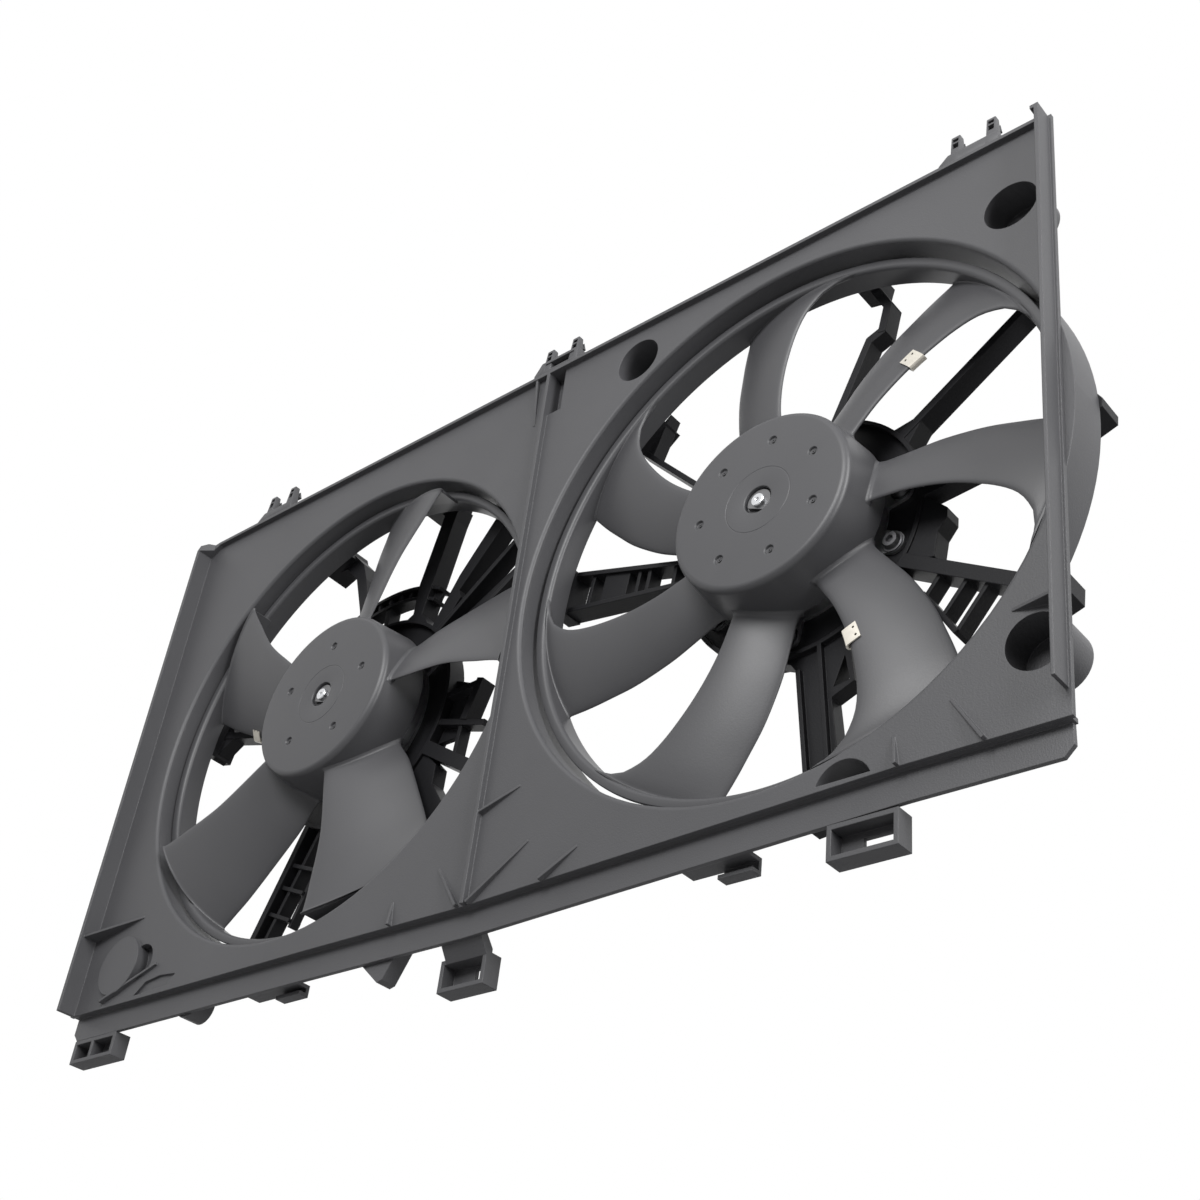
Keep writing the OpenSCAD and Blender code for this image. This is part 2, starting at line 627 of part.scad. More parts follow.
// One blade is lofted through sections on cylinders about the axis.
// A section gives its radius, the angles of its front and rear edges from the blade's own
// angle, and the depths of the two edges.
right_sections = [[right_hub_r + 0.6, -1, 33.6, 24.8, 36.4], [66, 0.2, 30.2, 24.6, 36.6],
    [78, 1, 27.2, 24.4, 36.8], [92, 0.7, 24.8, 24.2, 36.8], [106, -0.3, 22.2, 24, 36.8],
    [120, -1.8, 19.7, 23.8, 36.8], [134, -3.6, 17, 23.6, 36.7], [146, -5.8, 15, 23.5, 36.6],
    [154.5, -8.6, 13.6, 23.6, 36.5], [160, -11.5, 12.7, 23.8, 36.4], [ring_r + 1, -17, 12.2, 24.3, 36.2]];
left_sections = [[left_hub_r + 0.2, 0, 42.5, 12.4, 36], [67, 0.2, 40.4, 12.3, 36.2],
    [78, 0.4, 38.4, 12.2, 36.4], [92, 0.6, 35.2, 12, 36.5], [106, 0.3, 32.6, 11.9, 36.5],
    [120, -0.8, 30.6, 11.8, 36.5], [134, -2, 28.9, 11.6, 36.4], [145, -2.7, 27.4, 11.4, 36.3],
    [152, -3.2, 26.6, 11.2, 36.2], [left_tip_r + 1, -3.8, 25.8, 11, 36.1]];

// Stations across a section and how thick it is there
chord_stops = [0, 0.03, 0.15, 0.35, 0.55, 0.75, 0.93, 1];
chord_fill = [0.3, 0.85, 1, 1, 1, 0.95, 0.7, 0.25];

// Point of a section at a share of its chord, lifted off its middle surface
function blade_point(sec, s, lift, root_slope) =
    let (r = sec[0], a = sec[1] + (sec[2] - sec[1]) * s,
         y = sec[3] + (sec[4] - sec[3]) * s - blade_camber * 4 * s * (1 - s),
         run = r * (sec[2] - sec[1]) * PI / 180, rise = sec[4] - sec[3] - blade_camber * 4 * (1 - 2 * s),
         n = norm([run, rise]), turn = -rise / n * lift / r * 180 / PI, y2 = y + run / n * lift,
         r2 = r + root_slope * (y2 - sec[3]))
    [r2 * cos(a + turn), y2, r2 * sin(a + turn)];

function section_loop(sec, root_slope) = concat(
    [for (i = [0:len(chord_stops) - 1]) blade_point(sec, chord_stops[i], chord_fill[i] * blade_t / 2, root_slope)],
    [for (i = [len(chord_stops) - 1:-1:0]) blade_point(sec, chord_stops[i], -chord_fill[i] * blade_t / 2, root_slope)]);

module blade(sections) {
    root_slope = hub_draft / (hub_rear - hub_front);
    n = 2 * len(chord_stops);
    last = len(sections) - 1;
    points = [for (k = [0:last]) each section_loop(sections[k], k == 0 ? root_slope : 0)];
    sides = [for (k = [0:last - 1]) for (i = [0:n - 1]) let (j = (i + 1) % n)
        each [[k * n + i, (k + 1) * n + j, k * n + j], [k * n + i, (k + 1) * n + i, (k + 1) * n + j]]];
    root_cap = [for (i = [0:n / 2 - 2]) each [[i, i + 1, n - 1 - i], [i + 1, n - 2 - i, n - 1 - i]]];
    tip = last * n;
    tip_cap = [for (i = [0:n / 2 - 2])
        each [[tip + i, tip + n - 1 - i, tip + i + 1], [tip + i + 1, tip + n - 1 - i, tip + n - 2 - i]]];
    polyhedron(points, concat(sides, root_cap, tip_cap), convexity = 6);
}

// Ring that joins the blade tips, with a rounded lip in front
ring_front = 22.7;
ring_rear = 37.5;
ring_lip = 2.6;
module blade_ring(axis, r, lip_out) {
    turned(axis, concat([[r, ring_rear]], arc([r + ring_lip, ring_front + ring_lip], ring_lip, 180, 270, 4),
        [[r + lip_out, ring_front], [r + lip_out, ring_front + 2.3], [r + 3.4, ring_front + 2.7],
         [r + 2.2, ring_front + 4.3], [r + 2.2, ring_rear]]));
}

module right_fan() {
    color(plastic) {
        hub_cap(right_axis, right_hub_r, right_blades, 38.1, 78.5);
        for (i = [0:right_blades - 1]) around(right_axis, right_turn + i * 360 / right_blades)
            blade(right_sections);
        blade_ring(right_axis, ring_r, 6.2);
    }
}

module left_fan() {
    color(plastic) {
        hub_cap(left_axis, left_hub_r, left_blades, 36, 87.2);
        difference() {
            for (i = [0:left_blades - 1]) around(left_axis, left_turn + i * 360 / left_blades)
                blade(left_sections);
            tube(left_axis, left_tip_r, left_tip_r + 20, 0, ring_front + 0.2, 180);
        }
        blade_ring(left_axis, left_tip_r - 0.8, 6);
        tip_webs();
    }
}

// Webs that carry the front part of the left blade tips on the ring
module tip_webs() {
    front = 12.4;
    front_turn = left_turn - 3.4;
    foot_turn = left_turn + 9;
    intersection() {
        tube(left_axis, left_tip_r - 1.8, left_tip_r - 0.2, front - 2, ring_front + 4.5, 180);
        for (i = [0:left_blades - 1]) around(left_axis, i * 360 / left_blades)
            web_wedge(front, front_turn, foot_turn);
    }
}

module web_wedge(front, front_turn, foot_turn) {
    half = left_tip_r * sin((foot_turn - front_turn) / 2);
    rotate([0, -(front_turn + foot_turn) / 2, 0]) translate([left_tip_r - 12, 0, 0]) rotate([0, 90, 0])
        linear_extrude(16) polygon([[half, front - 0.9], [half, ring_front + 4], [-half, ring_front + 4],
            [-half, ring_front - 3.5]]);
}

// A sheet clip folded round the front or rear edge of a blade, between two radii
clip_gap = 0.25;
clip_t = 0.7;
function between(a, b, t) = a + (b - a) * t;
function clip_point(sec, s, lift, rear) = blade_point(sec, rear ? 1 - s : s, lift, 0);
function clip_loop(sec, reach, rear) =
    let (inner = blade_t / 2 + clip_gap, outer = inner + clip_t, front = -0.03, nose = -0.055,
         path = [[reach, -outer], [0.02, -outer], [nose, -outer * 0.7], [nose, outer * 0.7], [0.02, outer],
             [reach, outer], [reach, inner], [0.02, inner], [front, inner * 0.7], [front, -inner * 0.7],
             [0.02, -inner], [reach, -inner]])
    [for (p = path) clip_point(sec, p[0], p[1], rear)];

function section_at(sections, r) =
    let (k = max([for (i = [0:len(sections) - 2]) if (sections[i][0] <= r) i]),
         t = (r - sections[k][0]) / (sections[k + 1][0] - sections[k][0]))
    between(sections[k], sections[k + 1], t);

module balance_clip(sections, r1, r2, reach, rear = false) {
    a = clip_loop(section_at(sections, rear ? r2 : r1), reach, rear);
    b = clip_loop(section_at(sections, rear ? r1 : r2), reach, rear);
    n = len(a);
    sides = [for (i = [0:n - 1]) let (j = (i + 1) % n) each [[i, j, n + j], [i, n + j, n + i]]];
    caps = [for (i = [0:n / 2 - 2]) let (m = n - 1 - i) each [[i, m, i + 1], [i + 1, m, m - 1]]];
    polyhedron(concat(a, b), concat([for (f = sides) [f[0], f[2], f[1]]], [for (f = caps) [f[0], f[2], f[1]]],
        [for (f = caps) [f[0] + n, f[1] + n, f[2] + n]]), convexity = 4);
}

module right_balance_clips() {
    color(cream) {
        around(right_axis, right_turn) balance_clip(right_sections, 104, 113.5, 0.19);
        around(right_axis, right_turn + 5 * 360 / right_blades) balance_clip(right_sections, 100, 110, 0.16);
    }
}

module left_balance_clip() {
    color(cream) around(left_axis, left_turn + 360 / left_blades) balance_clip(left_sections, 100, 108, 0.07, true);
}

// Parts that turn with a fan
module shaft(axis) {
    color(steel) {
        turned(axis, [[0, hub_front - 0.5], [shaft_r - 0.5, hub_front - 0.5], [shaft_r, hub_front],
            [shaft_r, hub_front + 1.4], [shaft_r - 0.8, hub_front + 1.4], [shaft_r - 0.8, hub_front + 2.6],
            [shaft_r, hub_front + 2.6], [shaft_r, shaft_end], [0, shaft_end]]);
    }
}

// Retaining washer with a flat, snapped into the groove at the shaft's nose
module shaft_clip(axis, turn) {
    color(steel) difference() {
        rod(axis, recess_r - 1.2, hub_front + 1.5, hub_front + 2.5);
        rod(axis, shaft_r - 0.8 + fit, hub_front, hub_front + 4);
        around(axis, turn) translate([shaft_r + 0.8, hub_front, -10]) cube([10, 4, 20]);
    }
}

core_r = 35.5;
core_front = can_front + 9;
core_len = 20;
slot_r = 29;

module core(axis) {
    color(zinc) difference() {
        rod(axis, core_r, core_front, core_front + core_len);
        rod(axis, shaft_r + fit, core_front - 1, core_front + core_len + 1);
        for (i = [0:slots - 1]) around(axis, i * 360 / slots) {
            translate([16, core_front - 1, -3.6]) cube([slot_r - 16, core_len + 2, 7.2]);
            translate([slot_r - 1, core_front - 1, -1.2]) cube([core_r, core_len + 2, 2.4]);
        }
    }
}

module windings(axis) {
    color(copper) {
        for (end = [core_front - 5.3, core_front + core_len + 0.3])
            turned(axis, concat(arc([17.5, end + 2.5], 2.5, 90, 270, 4), arc([26, end + 2.5], 2.5, 270, 450, 6)));
        for (i = [0:slots - 1]) around(axis, i * 360 / slots)
            translate([16.4, core_front - 1, -3.2]) cube([slot_r - 17, core_len + 2, 6.4]);
    }
}

comm_r = 11;
comm_front = core_front + core_len + 6.5;
comm_len = 6;

module commutator(axis) {
    color(copper) difference() {
        rod(axis, comm_r, comm_front, comm_front + comm_len);
        rod(axis, shaft_r + fit, comm_front - 1, comm_front + comm_len + 1);
        for (i = [0:slots - 1]) around(axis, (i + 0.5) * 360 / slots)
            translate([comm_r - 1.2, comm_front - 1, -0.3]) cube([3, comm_len + 2, 0.6]);
    }
}

// Motor can: drawn steel cup with a bearing boss in front and a flange with screw ears
module can(axis, angles) {
    inner = can_r - can_t;
    boss_front = can_front - 3.5;
    color(zinc) difference() {
        union() {
            turned(axis, concat([[6, boss_front], [9.5, boss_front], [9.5, can_front]],
                arc([can_r - 5, can_front + 5], 5, 270, 360, 5),
                [[can_r, can_back], [inner, can_back]],
                reversed(arc([inner - 3.4, can_front + can_t + 3.4], 3.4, 270, 360, 4)),
                [[12, can_front + can_t], [12, can_front + 4.5], [8 + fit, can_front + 4.5],
                 [8 + fit, boss_front + can_t], [6, boss_front + can_t]]));
            difference() {
                slab(flange_back - flange_t, flange_back) translate(axis) {
                    circle(r = 54, $fn = 96);
                    for (a = angles) {
                        translate(polar(screw_pitch, a)) circle(r = 6.5, $fn = 32);
                        polygon([polar(50, a - 9), polar(screw_pitch, a - 5.9), polar(screw_pitch, a + 5.9), polar(50, a + 9)]);
                    }
                }
                rod(axis, can_r - 0.5, flange_back - flange_t - 1, flange_back + 1);
            }
        }
        for (a = angles) around(axis, a) translate([screw_pitch, flange_back + 1, 0]) rotate([90, 0, 0])
            cylinder(r = screw_r + 0.3, h = flange_t + 2, $fn = 48);
        for (a = [45:90:315]) around(axis, a) translate([can_r - 16, can_front - 1, -4]) cube([9, can_t + 2, 8]);
    }
}

module end_cap(axis) {
    inner = can_r - can_t - fit;
    color(zinc) turned(axis, [[8 + fit, can_back - 3], [13, can_back - 3], [13, can_back - 1.6], [inner, can_back - 1.6],
        [inner, can_back], [can_r, can_back], [can_r, can_back + 1.6], [12, can_back + 1.6], [12, shaft_end + 1.2],
        [0, shaft_end + 2.8], [0, shaft_end + 1.2], [6, shaft_end + 1.2], [6, can_back + 3.6], [8 + fit, can_back + 3.6]]);
}

module magnets(axis) {
    inner = can_r - can_t;
    color(ferrite) difference() {
        tube(axis, core_r + 1.2, inner - fit, core_front - 3, core_front + core_len + 3);
        for (a = [0:90:270]) around(axis, a) translate([0, 0, -4]) cube([can_r, can_back, 8]);
    }
}

card_front = comm_front + 0.5;

module brush_card(axis) {
    color(carbon) difference() {
        union() {
            tube(axis, comm_r + 4, can_r - can_t - fit, card_front + 5.5, card_front + 7);
            for (a = [0, 180]) around(axis, a) translate([comm_r + 3, card_front, -4.2]) cube([18, 6, 8.4]);
        }
        for (a = [0, 180]) around(axis, a) translate([comm_r, card_front - 1, -3]) cube([19.5, 6, 6]);
    }
}

module brushes(axis) {
    color("#303034") for (a = [0, 180]) around(axis, a)
        difference() {
            translate([comm_r - 0.5, card_front + 0.2, -2.9]) cube([11, 4.7, 5.8]);
            translate([0, card_front - 1, 0]) rotate([-90, 0, 0]) cylinder(r = comm_r + 0.05, h = 8);
        }
}

module brush_springs(axis) {
    color(steel) for (a = [0, 180]) around(axis, a)
        translate([comm_r + 10.5, card_front + 2.5, 0]) rotate([0, 90, 0])
            for (i = [0:3]) translate([0, 0, i * 2]) rotate_extrude($fn = 24)
                translate([1.6, 0]) square([0.5, i == 3 ? 1.9 : 2.01]);
}

module bearings(axis) {
    color(brass) {
        tube(axis, shaft_r + fit, 8, can_front - 1.8, can_front + 4.5);
        tube(axis, shaft_r + fit, 8, can_back - 3, can_back + 3.5);
    }
}

module screws(axis, angles) {
    color(steel) for (a = angles) around(axis, a) translate([screw_pitch, 0, 0]) rotate([-90, 0, 0]) {
        difference() {
            union() {
                translate([0, 0, flange_back - flange_t - 3.6]) cylinder(r1 = 4.2, r2 = 5, h = 2.6, $fn = 32);
                translate([0, 0, flange_back - flange_t - 1]) cylinder(r = 6.2, h = 1, $fn = 32);
            }
            translate([0, 0, flange_back - flange_t - 4]) cylinder(r = 2.4, h = 2.4, $fn = 6);
        }
        translate([0, 0, flange_back - flange_t]) cylinder(r = screw_r, h = 14, $fn = 32);
    }
}

socket_r = 30;
socket_turn = 270;
module socket(axis, a) {
    color(carbon) around(axis, a) difference() {
        translate([socket_r - 8, can_back + 1.6, -11]) cube([16, 15, 22]);
        translate([socket_r - 6.2, can_back + 4.6, -9.2]) cube([12.4, 15, 18.4]);
    }
}

module pins(axis, a) {
    color(brass) around(axis, a) for (z = [-4.5, 4.5])
        translate([socket_r - 2.2, can_back + 4.6, z - 0.4]) cube([4.4, 8, 0.8]);
}

module left_shaft() { shaft(left_axis); }
module right_shaft() { shaft(right_axis); }
module left_shaft_clip() { shaft_clip(left_axis, 250); }
module right_shaft_clip() { shaft_clip(right_axis, 245); }
module left_core() { core(left_axis); }
module right_core() { core(right_axis); }
module left_windings() { windings(left_axis); }
module right_windings() { windings(right_axis); }
module left_commutator() { commutator(left_axis); }
module right_commutator() { commutator(right_axis); }
module left_can() { can(left_axis, left_screw_angles); }
module right_can() { can(right_axis, right_screw_angles); }
module left_end_cap() { end_cap(left_axis); }
module right_end_cap() { end_cap(right_axis); }
module left_magnets() { magnets(left_axis); }
module right_magnets() { magnets(right_axis); }
module left_brush_card() { brush_card(left_axis); }
module right_brush_card() { brush_card(right_axis); }
module left_brushes() { brushes(left_axis); }
module right_brushes() { brushes(right_axis); }
module left_brush_springs() { brush_springs(left_axis); }
module right_brush_springs() { brush_springs(right_axis); }
module left_bearings() { bearings(left_axis); }
module right_bearings() { bearings(right_axis); }
module left_screws() { screws(left_axis, left_screw_angles); }
module right_screws() { screws(right_axis, right_screw_angles); }
module left_socket() { socket(left_axis, socket_turn); }
module right_socket() { socket(right_axis, socket_turn); }
module left_pins() { pins(left_axis, socket_turn); }
module right_pins() { pins(right_axis, socket_turn); }

shroud_panel();
left_barrel();
right_barrel();
bottom_skirt();
left_foot();
centre_foot();
right_foot();
top_clips();
harness_hooks();
left_spider();
right_spider();
left_fan();
left_balance_clip();
left_shaft();
left_shaft_clip();
left_core();
left_windings();
left_commutator();
left_can();
left_end_cap();
left_magnets();
left_brush_card();
left_brushes();
left_brush_springs();
left_bearings();
left_screws();
left_socket();
left_pins();
right_fan();
right_balance_clips();
right_shaft();
right_shaft_clip();
right_core();
right_windings();
right_commutator();
right_can();
right_end_cap();
right_magnets();
right_brush_card();
right_brushes();
right_brush_springs();
right_bearings();
right_screws();
right_socket();
right_pins();
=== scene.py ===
"""Looks of a twin radiator fan module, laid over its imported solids."""
import math

import bpy
from mathutils import Matrix, Vector


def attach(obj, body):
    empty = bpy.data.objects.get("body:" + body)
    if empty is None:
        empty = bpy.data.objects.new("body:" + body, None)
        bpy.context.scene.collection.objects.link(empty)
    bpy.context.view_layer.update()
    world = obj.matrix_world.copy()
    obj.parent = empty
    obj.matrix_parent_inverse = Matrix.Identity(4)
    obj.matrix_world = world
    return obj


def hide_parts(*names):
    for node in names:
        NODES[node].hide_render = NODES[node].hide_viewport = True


bl_info = {
    "name": "Radiator fan module",
    "version": (1, 0, 0),
    "blender": (4, 5, 0),
    "location": "View3D > Sidebar > Fan module",
    "description": "Finishes a twin radiator fan module: shroud, fans, motors and stage",
    "category": "Object",
}

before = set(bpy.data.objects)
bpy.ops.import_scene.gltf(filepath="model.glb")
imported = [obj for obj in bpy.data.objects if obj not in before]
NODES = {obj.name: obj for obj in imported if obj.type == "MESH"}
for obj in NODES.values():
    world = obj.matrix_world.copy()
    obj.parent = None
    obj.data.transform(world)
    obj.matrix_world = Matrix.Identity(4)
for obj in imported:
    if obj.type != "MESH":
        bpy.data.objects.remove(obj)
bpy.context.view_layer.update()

SHROUD = ["shroud_panel", "left_barrel", "right_barrel", "bottom_skirt", "left_foot",
          "centre_foot", "right_foot", "top_clips", "harness_hooks"]
SPIDERS = ["left_spider", "right_spider"]

# Sizes of the two fans in millimetres and degrees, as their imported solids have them.
# A blade section gives its radius, the angles of its front and rear edges from the
# blade's own angle, and the depths of the two edges.
MM = 0.001
FANS = {
    "right": {
        "axis": (182.0, -1.0), "hub_r": 56.0, "blades": 7, "turn": 39.2, "ring_r": 163.0,
        "lip_out": 6.2, "blade_end": 164.0, "dimple_pitch": 38.1, "dimple_turn": 78.5,
        "clips": ((0, 104.0, 113.5, 0.19, False), (5, 100.0, 110.0, 0.16, False)),
        "sections": ((56.6, -1, 33.6, 24.8, 36.4), (66, 0.2, 30.2, 24.6, 36.6),
                     (78, 1, 27.2, 24.4, 36.8), (92, 0.7, 24.8, 24.2, 36.8),
                     (106, -0.3, 22.2, 24, 36.8), (120, -1.8, 19.7, 23.8, 36.8),
                     (134, -3.6, 17, 23.6, 36.7), (146, -5.8, 15, 23.5, 36.6),
                     (154.5, -8.6, 13.6, 23.6, 36.5), (160, -11.5, 12.7, 23.8, 36.4),
                     (164, -17, 12.2, 24.3, 36.2))},
    "left": {
        "axis": (-157.2, -9.6), "hub_r": 57.7, "blades": 5, "turn": 66.4, "ring_r": 156.8,
        "lip_out": 6.0, "blade_end": 157.3, "dimple_pitch": 36.0, "dimple_turn": 87.2,
        "clips": ((1, 100.0, 108.0, 0.07, True),),
        "sections": ((57.9, 0, 42.5, 12.4, 36), (67, 0.2, 40.4, 12.3, 36.2),
                     (78, 0.4, 38.4, 12.2, 36.4), (92, 0.6, 35.2, 12, 36.5),
                     (106, 0.3, 32.6, 11.9, 36.5), (120, -0.8, 30.6, 11.8, 36.5),
                     (134, -2, 28.9, 11.6, 36.4), (145, -2.7, 27.4, 11.4, 36.3),
                     (152, -3.2, 26.6, 11.2, 36.2), (158.6, -3.8, 25.8, 11, 36.1))},
}
HUB_FRONT, HUB_REAR, HUB_DRAFT, SHOULDER = 5.5, 36.5, 2.5, 4.0
RECESS_R, RECESS_D, BOSS_R, BOSS_END, HUB_WALL = 8.5, 3.5, 11.5, 12.5, 2.5
SHAFT_R, SHAFT_END, FIT = 4.0, 66.0, 0.03
RING_FRONT, RING_REAR, RING_LIP = 22.7, 37.5, 2.6
WEB_INNER, WEB_OUTER, WEB_FRONT, WEB_START, WEB_END = 155.8, 157.4, 11.5, -3.4, 9.0

# The camera stands where the photo's edges and circles put it, in metres
CAMERA_PLACE = (0.60106, -0.53124, -0.55932)
CAMERA_RIGHT = (0.7616, 0.6397, 0.1039)
CAMERA_UP = (0.3101, -0.5006, 0.8082)
CAMERA_LENS, CAMERA_SENSOR = 50.25, 36


class FanModuleFinish(bpy.types.PropertyGroup):
    plastic: bpy.props.FloatVectorProperty(
        name="Plastic", description="Colour of the moulded shroud and fans",
        subtype="COLOR", size=3, min=0, max=1, default=(0.062, 0.062, 0.066))
    dark_plastic: bpy.props.FloatVectorProperty(
        name="Dark plastic", description="Colour of the motor arms and sockets",
        subtype="COLOR", size=3, min=0, max=1, default=(0.014, 0.014, 0.0155))
    clip_metal: bpy.props.FloatVectorProperty(
        name="Clip", description="Colour of the coated balance clips",
        subtype="COLOR", size=3, min=0, max=1, default=(0.72, 0.68, 0.6))
    grain: bpy.props.FloatProperty(
        name="Grain", description="Size of one grain of the moulded surface",
        unit="LENGTH", min=0.0002, max=0.004, default=0.0009)
    grain_depth: bpy.props.FloatProperty(
        name="Grain depth", description="How strongly the grain shows",
        subtype="FACTOR", min=0, max=1, default=0.3)
    dust: bpy.props.FloatProperty(
        name="Dust", description="Share of pale bloom on the plastic",
        subtype="FACTOR", min=0, max=1, default=0.2)


class FanModuleFans(bpy.types.PropertyGroup):
    blade_thickness: bpy.props.FloatProperty(
        name="Blade thickness", description="Thickness of a fan blade in millimetres",
        min=1.8, max=3, default=2.4)
    blade_bulge: bpy.props.FloatProperty(
        name="Blade bulge", description="How far a blade bulges forward in millimetres",
        min=0, max=4, default=2.6)
    root_fillet: bpy.props.FloatProperty(
        name="Root fillet", description="Fillet between blade and hub in millimetres",
        min=0.5, max=3, default=2.2)
    dimple_r: bpy.props.FloatProperty(
        name="Dimple", description="Radius of the dimples in the hub's face in millimetres",
        min=1.5, max=4, default=2.8)
    groove: bpy.props.FloatProperty(
        name="Parting line", description="Depth of the fine ring line on the hub in millimetres",
        min=0, max=0.4, default=0.16)


class FanModuleStage(bpy.types.PropertyGroup):
    backdrop: bpy.props.FloatVectorProperty(
        name="Backdrop", description="Colour of the floor and of the space behind",
        subtype="COLOR", size=3, min=0, max=1, default=(1.0, 1.0, 1.0))
    floor_drop: bpy.props.FloatProperty(
        name="Floor", description="Distance of the floor below the module's middle",
        unit="LENGTH", min=0.3, max=3, default=1.3)
    fill: bpy.props.FloatProperty(
        name="Fill", description="Strength of the even light from all sides",
        min=0, max=2, default=0.16)
    key: bpy.props.FloatProperty(
        name="Key", description="Power of the large soft lamp in watts",
        min=0, max=200, default=27)
    strip: bpy.props.FloatProperty(
        name="Strip", description="Power of the narrow lamp at the right in watts",
        min=0, max=200, default=24)


# The three groups of settings, as the scene holds them
def finish_settings():
    return bpy.context.scene.fan_module_finish


def stage_settings():
    return bpy.context.scene.fan_module_stage


def fan_settings():
    return bpy.context.scene.fan_module_fans


def add_node(tree, kind, place, **values):
    """Adds a shader node and sets its sockets or its own options by name."""
    made = tree.nodes.new(kind)
    made.location = place
    for key, value in values.items():
        if key in made.inputs:
            made.inputs[key].default_value = value
        else:
            setattr(made, key, value)
    return made


def surface_group():
    """Moulded surface: fine grain, slow colour drift and a roughness that varies."""
    if "moulded_surface" in bpy.data.node_groups:
        return bpy.data.node_groups["moulded_surface"]
    tree = bpy.data.node_groups.new("moulded_surface", "ShaderNodeTree")
    for name, kind, value in (("Colour", "NodeSocketColor", (0.06, 0.06, 0.06, 1)),
                              ("Grain size", "NodeSocketFloat", 0.0009),
                              ("Drift", "NodeSocketFloat", 0.12),
                              ("Rough from", "NodeSocketFloat", 0.5),
                              ("Rough to", "NodeSocketFloat", 0.65)):
        made = tree.interface.new_socket(name, in_out="INPUT", socket_type=kind)
        made.default_value = value
    for name, kind in (("Colour", "NodeSocketColor"), ("Roughness", "NodeSocketFloat"),
                       ("Height", "NodeSocketFloat")):
        tree.interface.new_socket(name, in_out="OUTPUT", socket_type=kind)
    into = add_node(tree, "NodeGroupInput", (-900, 0))
    out = add_node(tree, "NodeGroupOutput", (700, 0))
    place = add_node(tree, "ShaderNodeTexCoord", (-900, 300))
    scale = add_node(tree, "ShaderNodeMath", (-700, 120), operation="DIVIDE")
    scale.inputs[0].default_value = 1.0
    fine = add_node(tree, "ShaderNodeTexNoise", (-450, 200), Detail=3.0, Roughness=0.6)
    slow = add_node(tree, "ShaderNodeTexNoise", (-450, -100), Scale=9.0, Detail=4.0, Roughness=0.55)
    drift = add_node(tree, "ShaderNodeMapRange", (-200, -100))
    paler = add_node(tree, "ShaderNodeMix", (200, 0), data_type="RGBA", blend_type="MIX")
    pale = add_node(tree, "ShaderNodeVectorMath", (0, 120), operation="MULTIPLY")
    pale.inputs[1].default_value = (1.9, 1.9, 1.88)
    share = add_node(tree, "ShaderNodeMath", (0, -100), operation="MULTIPLY")
    rough = add_node(tree, "ShaderNodeMapRange", (200, -300))
    link = tree.links.new
    link(into.outputs["Grain size"], scale.inputs[1])
    link(place.outputs["Object"], fine.inputs["Vector"])
    link(place.outputs["Object"], slow.inputs["Vector"])
    link(scale.outputs[0], fine.inputs["Scale"])
    drift.inputs["From Min"].default_value = 0.35
    drift.inputs["From Max"].default_value = 0.75
    link(slow.outputs["Fac"], drift.inputs["Value"])
    link(drift.outputs[0], share.inputs[0])
    link(into.outputs["Drift"], share.inputs[1])
    link(into.outputs["Colour"], pale.inputs[0])
    link(share.outputs[0], paler.inputs["Factor"])
    link(into.outputs["Colour"], paler.inputs["A"])
    link(pale.outputs[0], paler.inputs["B"])
    link(fine.outputs["Fac"], rough.inputs["Value"])
    link(into.outputs["Rough from"], rough.inputs["To Min"])
    link(into.outputs["Rough to"], rough.inputs["To Max"])
    link(paler.outputs["Result"], out.inputs["Colour"])
    link(rough.outputs[0], out.inputs["Roughness"])
    link(fine.outputs["Fac"], out.inputs["Height"])
    return tree


def moulded(name, colour, rough=(0.4, 0.52), depth=None, drift=None, edge=0.0007, shine=0.42):
    """A moulded plastic with its own colour and gloss, and edges rounded by their radius."""
    if name in bpy.data.materials:
        return bpy.data.materials[name]
    settings = finish_settings()
    made = bpy.data.materials.new(name)
    made.use_nodes = True
    tree = made.node_tree
    shader = tree.nodes["Principled BSDF"]
    group = add_node(tree, "ShaderNodeGroup", (-500, 0))
    group.node_tree = surface_group()
    group.inputs["Colour"].default_value = (*colour, 1)
    group.inputs["Grain size"].default_value = settings.grain
    group.inputs["Drift"].default_value = settings.dust if drift is None else drift
    group.inputs["Rough from"].default_value = rough[0]
    group.inputs["Rough to"].default_value = rough[1]
    bump = add_node(tree, "ShaderNodeBump", (-250, -200),
                    Strength=settings.grain_depth if depth is None else depth, Distance=0.0004)
    if edge:
        softened = add_node(tree, "ShaderNodeBevel", (-500, -350), samples=6, Radius=edge)
        tree.links.new(softened.outputs[0], bump.inputs["Normal"])
    tree.links.new(group.outputs["Colour"], shader.inputs["Base Color"])
    tree.links.new(group.outputs["Roughness"], shader.inputs["Roughness"])
    tree.links.new(group.outputs["Height"], bump.inputs["Height"])
    tree.links.new(bump.outputs["Normal"], shader.inputs["Normal"])
    shader.inputs["Specular IOR Level"].default_value = shine
    return made


